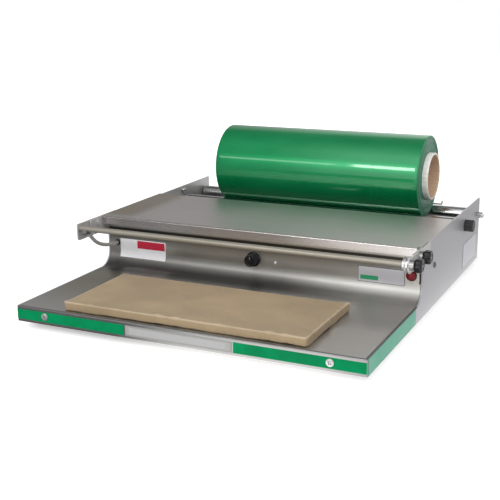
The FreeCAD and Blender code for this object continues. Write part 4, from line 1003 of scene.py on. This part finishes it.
def pad_path(x0, x1, y0, y1):
    """Points round the cover, close together, with rounded corners."""
    outline = []
    left, right = x0 + PAD_CORNER, x1 - PAD_CORNER
    front, back = y0 + PAD_CORNER, y1 - PAD_CORNER
    for cx, cy, start in ((right, front, -90), (right, back, 0), (left, back, 90),
                          (left, front, 180)):
        for step in range(7):
            angle = math.radians(start + 15 * step)
            outline.append(Vector((cx + PAD_CORNER * math.cos(angle),
                                   cy + PAD_CORNER * math.sin(angle))))
    path = []
    for a, b in zip(outline, outline[1:] + outline[:1]):
        parts = max(1, round((b - a).length / PAD_SPACING))
        path += [a.lerp(b, i / parts) for i in range(parts)]
    return path


def gridded(work, face, spans):
    """Cuts a flat face into a grid over spans (axis, start, end), and gives the grid's points."""
    parts = [face]
    for axis, start, end in spans:
        lines = int((end - start) / PAD_GRID)
        for n in range(1, lines):
            at = start + (end - start) * n / lines
            place, normal = Vector((0, 0, 0)), Vector((0, 0, 0))
            place[axis], normal[axis] = at, 1.0
            near = [f for f in parts if min(v.co[axis] for v in f.verts) < at
                    < max(v.co[axis] for v in f.verts)]
            known = set(parts)
            around = near + list({e for f in near for e in f.edges}) + list(
                {v for f in near for v in f.verts})
            made = bmesh.ops.bisect_plane(work, geom=around, plane_co=place, plane_no=normal,
                                          dist=1e-7)
            parts = list(known | {f for f in made["geom"] if isinstance(f, bmesh.types.BMFace)})
    return {v for f in parts for v in f.verts}


def make_cover():
    """Cloth over the hot plate: a nearly flat top, puckered edges, and corners pulled to ears."""
    low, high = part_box("seal_pad_cover")
    drop = high.z - low.z + PAD_HEM
    x0, x1 = low.x + PAD_INSET, high.x - PAD_INSET
    y0, y1 = low.y + PAD_INSET, high.y - PAD_INSET
    top = high.z - PAD_TOP_DROP
    path = pad_path(x0, x1, y0, y1)
    corners = [Vector((x, y)) for x in (x0, x1) for y in (y0, y1)]

    def outward(i):
        ahead = path[(i + 1) % len(path)] - path[i - 1]
        return Vector((ahead.y, -ahead.x)).normalized()

    def pucker(place, depth):
        """How far the skirt stands off its plane, growing downwards and near the corners."""
        near = min((place - c).length for c in corners)
        close = math.exp(-near / 0.025)
        wave = noise.noise(Vector((place.x * 42, place.y * 42, 1.7)))
        crease = noise.noise(Vector((place.x * 190, place.y * 190, 9.1)))
        stand = depth * (0.9 * MM * wave + (0.25 + 1.1 * close) * MM * crease) + 0.15 * MM * wave
        return max(MOST_INWARD, stand)

    def gather(x, y):
        """How far the cloth is pulled at its corners, tucks and loose edges."""
        move = Vector((0, 0, 0))
        for side, end, reach, lift in PAD_EARS:
            off_x = x - (x1 if side > 0 else x0)
            off_y = y - (y1 if end > 0 else y0)
            near = math.exp(-(off_x ** 2 + off_y ** 2) / (2 * (6.5 * MM) ** 2))
            move += Vector((side * reach, end * reach, lift)) * MM * near
        for along, width, height in PAD_TUCKS:
            off = (x - x0 - (x1 - x0) * along) / (width * MM)
            move += Vector((0, -0.9 * height, height)) * MM * bell(off, (y - y0) / (6 * MM))
        for along, width, height in PAD_FOLDS:
            off = (y - y0 - (y1 - y0) * along) / (width * MM)
            move += Vector((0.9 * height, 0, 0.8 * height)) * MM * bell(off, (x1 - x) / (7 * MM))
        loose = max(0.0, 0.15 + noise.noise(Vector((3.1, y * 24, 0.3))))
        move.x += 1.9 * MM * bell((x1 - x) / (10 * MM)) * loose
        slack = max(0.0, 0.15 + noise.noise(Vector((x * 17, 6.2, 0.9))))
        move += Vector((0, -1.3, 0.7)) * MM * bell((y - y0) / (10 * MM)) * slack
        return move

    # Rows of the skirt: how far back, how far down, and depth, 0 on the top to 1 at the hem
    skirt = []
    for step in range(6):
        angle = math.pi / 2 * step / 5
        skirt.append((PAD_EDGE * (1 - math.sin(angle)), PAD_EDGE * (1 - math.cos(angle)),
                      angle / math.pi))
    for share in (0.2, 0.4, 0.55, 0.7, 0.85, 1.0):
        skirt.append((0.0, PAD_EDGE + (drop - PAD_EDGE) * share, 0.5 + 0.5 * share))
    points, faces = [], []
    count = len(path)
    for back, down, depth in skirt:
        for i, place in enumerate(path):
            out = outward(i)
            hem = 1.5 * MM * noise.noise(Vector((place.x * 30, place.y * 30, 5.0))) * max(
                0.0, depth - 0.6) / 0.4
            side = place - out * back + out * (pucker(place, depth) if depth > 0.2 else 0.0)
            pull = gather(place.x, place.y) * (1.0 - 0.75 * max(0.0, depth - 0.3))
            points.append((side.x + pull.x, side.y + pull.y, top - down + hem + pull.z))
    for row in range(len(skirt) - 1):
        for i in range(count):
            upper, lower, after = row * count, (row + 1) * count, (i + 1) % count
            faces.append((upper + i, lower + i, lower + after, upper + after))
    mesh = mesh_from("pad_cloth", points, faces)
    work = bmesh.new()
    work.from_mesh(mesh)
    work.verts.ensure_lookup_table()
    rim = [work.verts[i] for i in range(count)]
    # The top is cut up while its rim is flat, and then the rim goes back to its place
    pulls = {}
    for i, (vertex, place) in enumerate(zip(rim, path)):
        pulls[vertex] = vertex.co.copy()
        flat = place - outward(i) * PAD_EDGE
        vertex.co = Vector((flat.x, flat.y, top))
    for vertex in gridded(work, work.faces.new(rim), ((X, x0, x1), (Y, y0, y1))):
        x, y = vertex.co.x, vertex.co.y
        inside_by = min(x - x0, x1 - x, y - y0, y1 - y)
        grow = min(1.0, max(0.0, (inside_by - PAD_EDGE) / (14 * MM)))
        swell = noise.noise(Vector((x * 11, y * 14, 0.4))) * 0.45 * MM
        ruffle = noise.noise(Vector((x * 45, y * 30, 2.2))) * 0.16 * MM
        vertex.co += gather(x, y)
        vertex.co.z += grow * (swell + ruffle)
    for vertex, place in pulls.items():
        vertex.co = place
    bmesh.ops.dissolve_degenerate(work, edges=work.edges, dist=0.16 * MM)
    bmesh.ops.recalc_face_normals(work, faces=work.faces)
    work.to_mesh(mesh)
    work.free()
    cover = finished("pad_cloth", mesh, CLOTH, "root")
    mesh.set_sharp_from_angle(angle=math.radians(180))
    thick = cover.modifiers.new("thickness", "SOLIDIFY")
    thick.thickness = PAD_CLOTH
    thick.offset = -1
    width, depth = x1 - x0, y1 - y0
    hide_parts("seal_pad_cover")


# ---- the rod's lead

# The sleeve's middle line, in mm from the machine's left front corner
LEAD_ROUTE = [
    (11.0, 184.47, 99.91), (11.5, 195.5, 85.5), (12.5, 212.5, 74.0), (14.5, 231.0, 68.0),
    (17.2, 245.0, 66.5), (18.8, 254.0, 66.2), (18.8, 269.0, 66.2),
]
CORNER = Vector((-294.25, -326.45, 12.0))
SLEEVE_RADIUS = 3.25 * MM


def make_lead():
    """The braided sleeve from the rod's outlet down into the front panel."""
    route = [(Vector(point) + CORNER) * MM for point in LEAD_ROUTE]
    curve = bpy.data.curves.new("lead_route", "CURVE")
    curve.dimensions = "3D"
    spline = curve.splines.new("NURBS")
    spline.points.add(len(route) - 1)
    for point, place in zip(spline.points, route):
        point.co = (*place, 1)
    spline.order_u = 3
    spline.use_endpoint_u = True
    spline.resolution_u = 12
    holder = bpy.data.objects.new("lead_route", curve)
    line = [v.co.copy() for v in bpy.data.meshes.new_from_object(holder).vertices]
    bpy.data.objects.remove(holder)
    points, faces = [], []
    sides = 28
    side = Vector((1, 0, 0))
    for i, place in enumerate(line):
        ahead = (line[min(i + 1, len(line) - 1)] - line[max(i - 1, 0)]).normalized()
        side = (side - ahead * side.dot(ahead)).normalized()
        other = ahead.cross(side)
        for step in range(sides):
            angle = 2 * math.pi * step / sides
            points.append(place + (side * math.cos(angle) + other * math.sin(angle))
                          * SLEEVE_RADIUS)
    for ring in range(len(line) - 1):
        faces += band(ring * sides, (ring + 1) * sides, sides)
    mesh = mesh_from("rod_lead", points, faces)
    lead = finished("rod_lead", mesh, SLEEVING, None)
    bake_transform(lead)
    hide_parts("lead_sleeve")


# ---- dress the carried-over pieces

def dress():
    for material, names in DRESS:
        for name in names.split():
            nodes[name].data.materials.clear()
            nodes[name].data.materials.append(material)


bpy.context.scene.view_settings.view_transform = "Standard"
add_camera()
add_world()
add_floor()
add_lamps()
dress()
make_roll()
make_core()
make_lobed_knob("rod_clamp_knob", "rod_knob")
make_lobed_knob("pivot_clamp_knob", "pivot_knob")
make_dial()
make_lens()
make_screws()
make_cover()
make_lead()
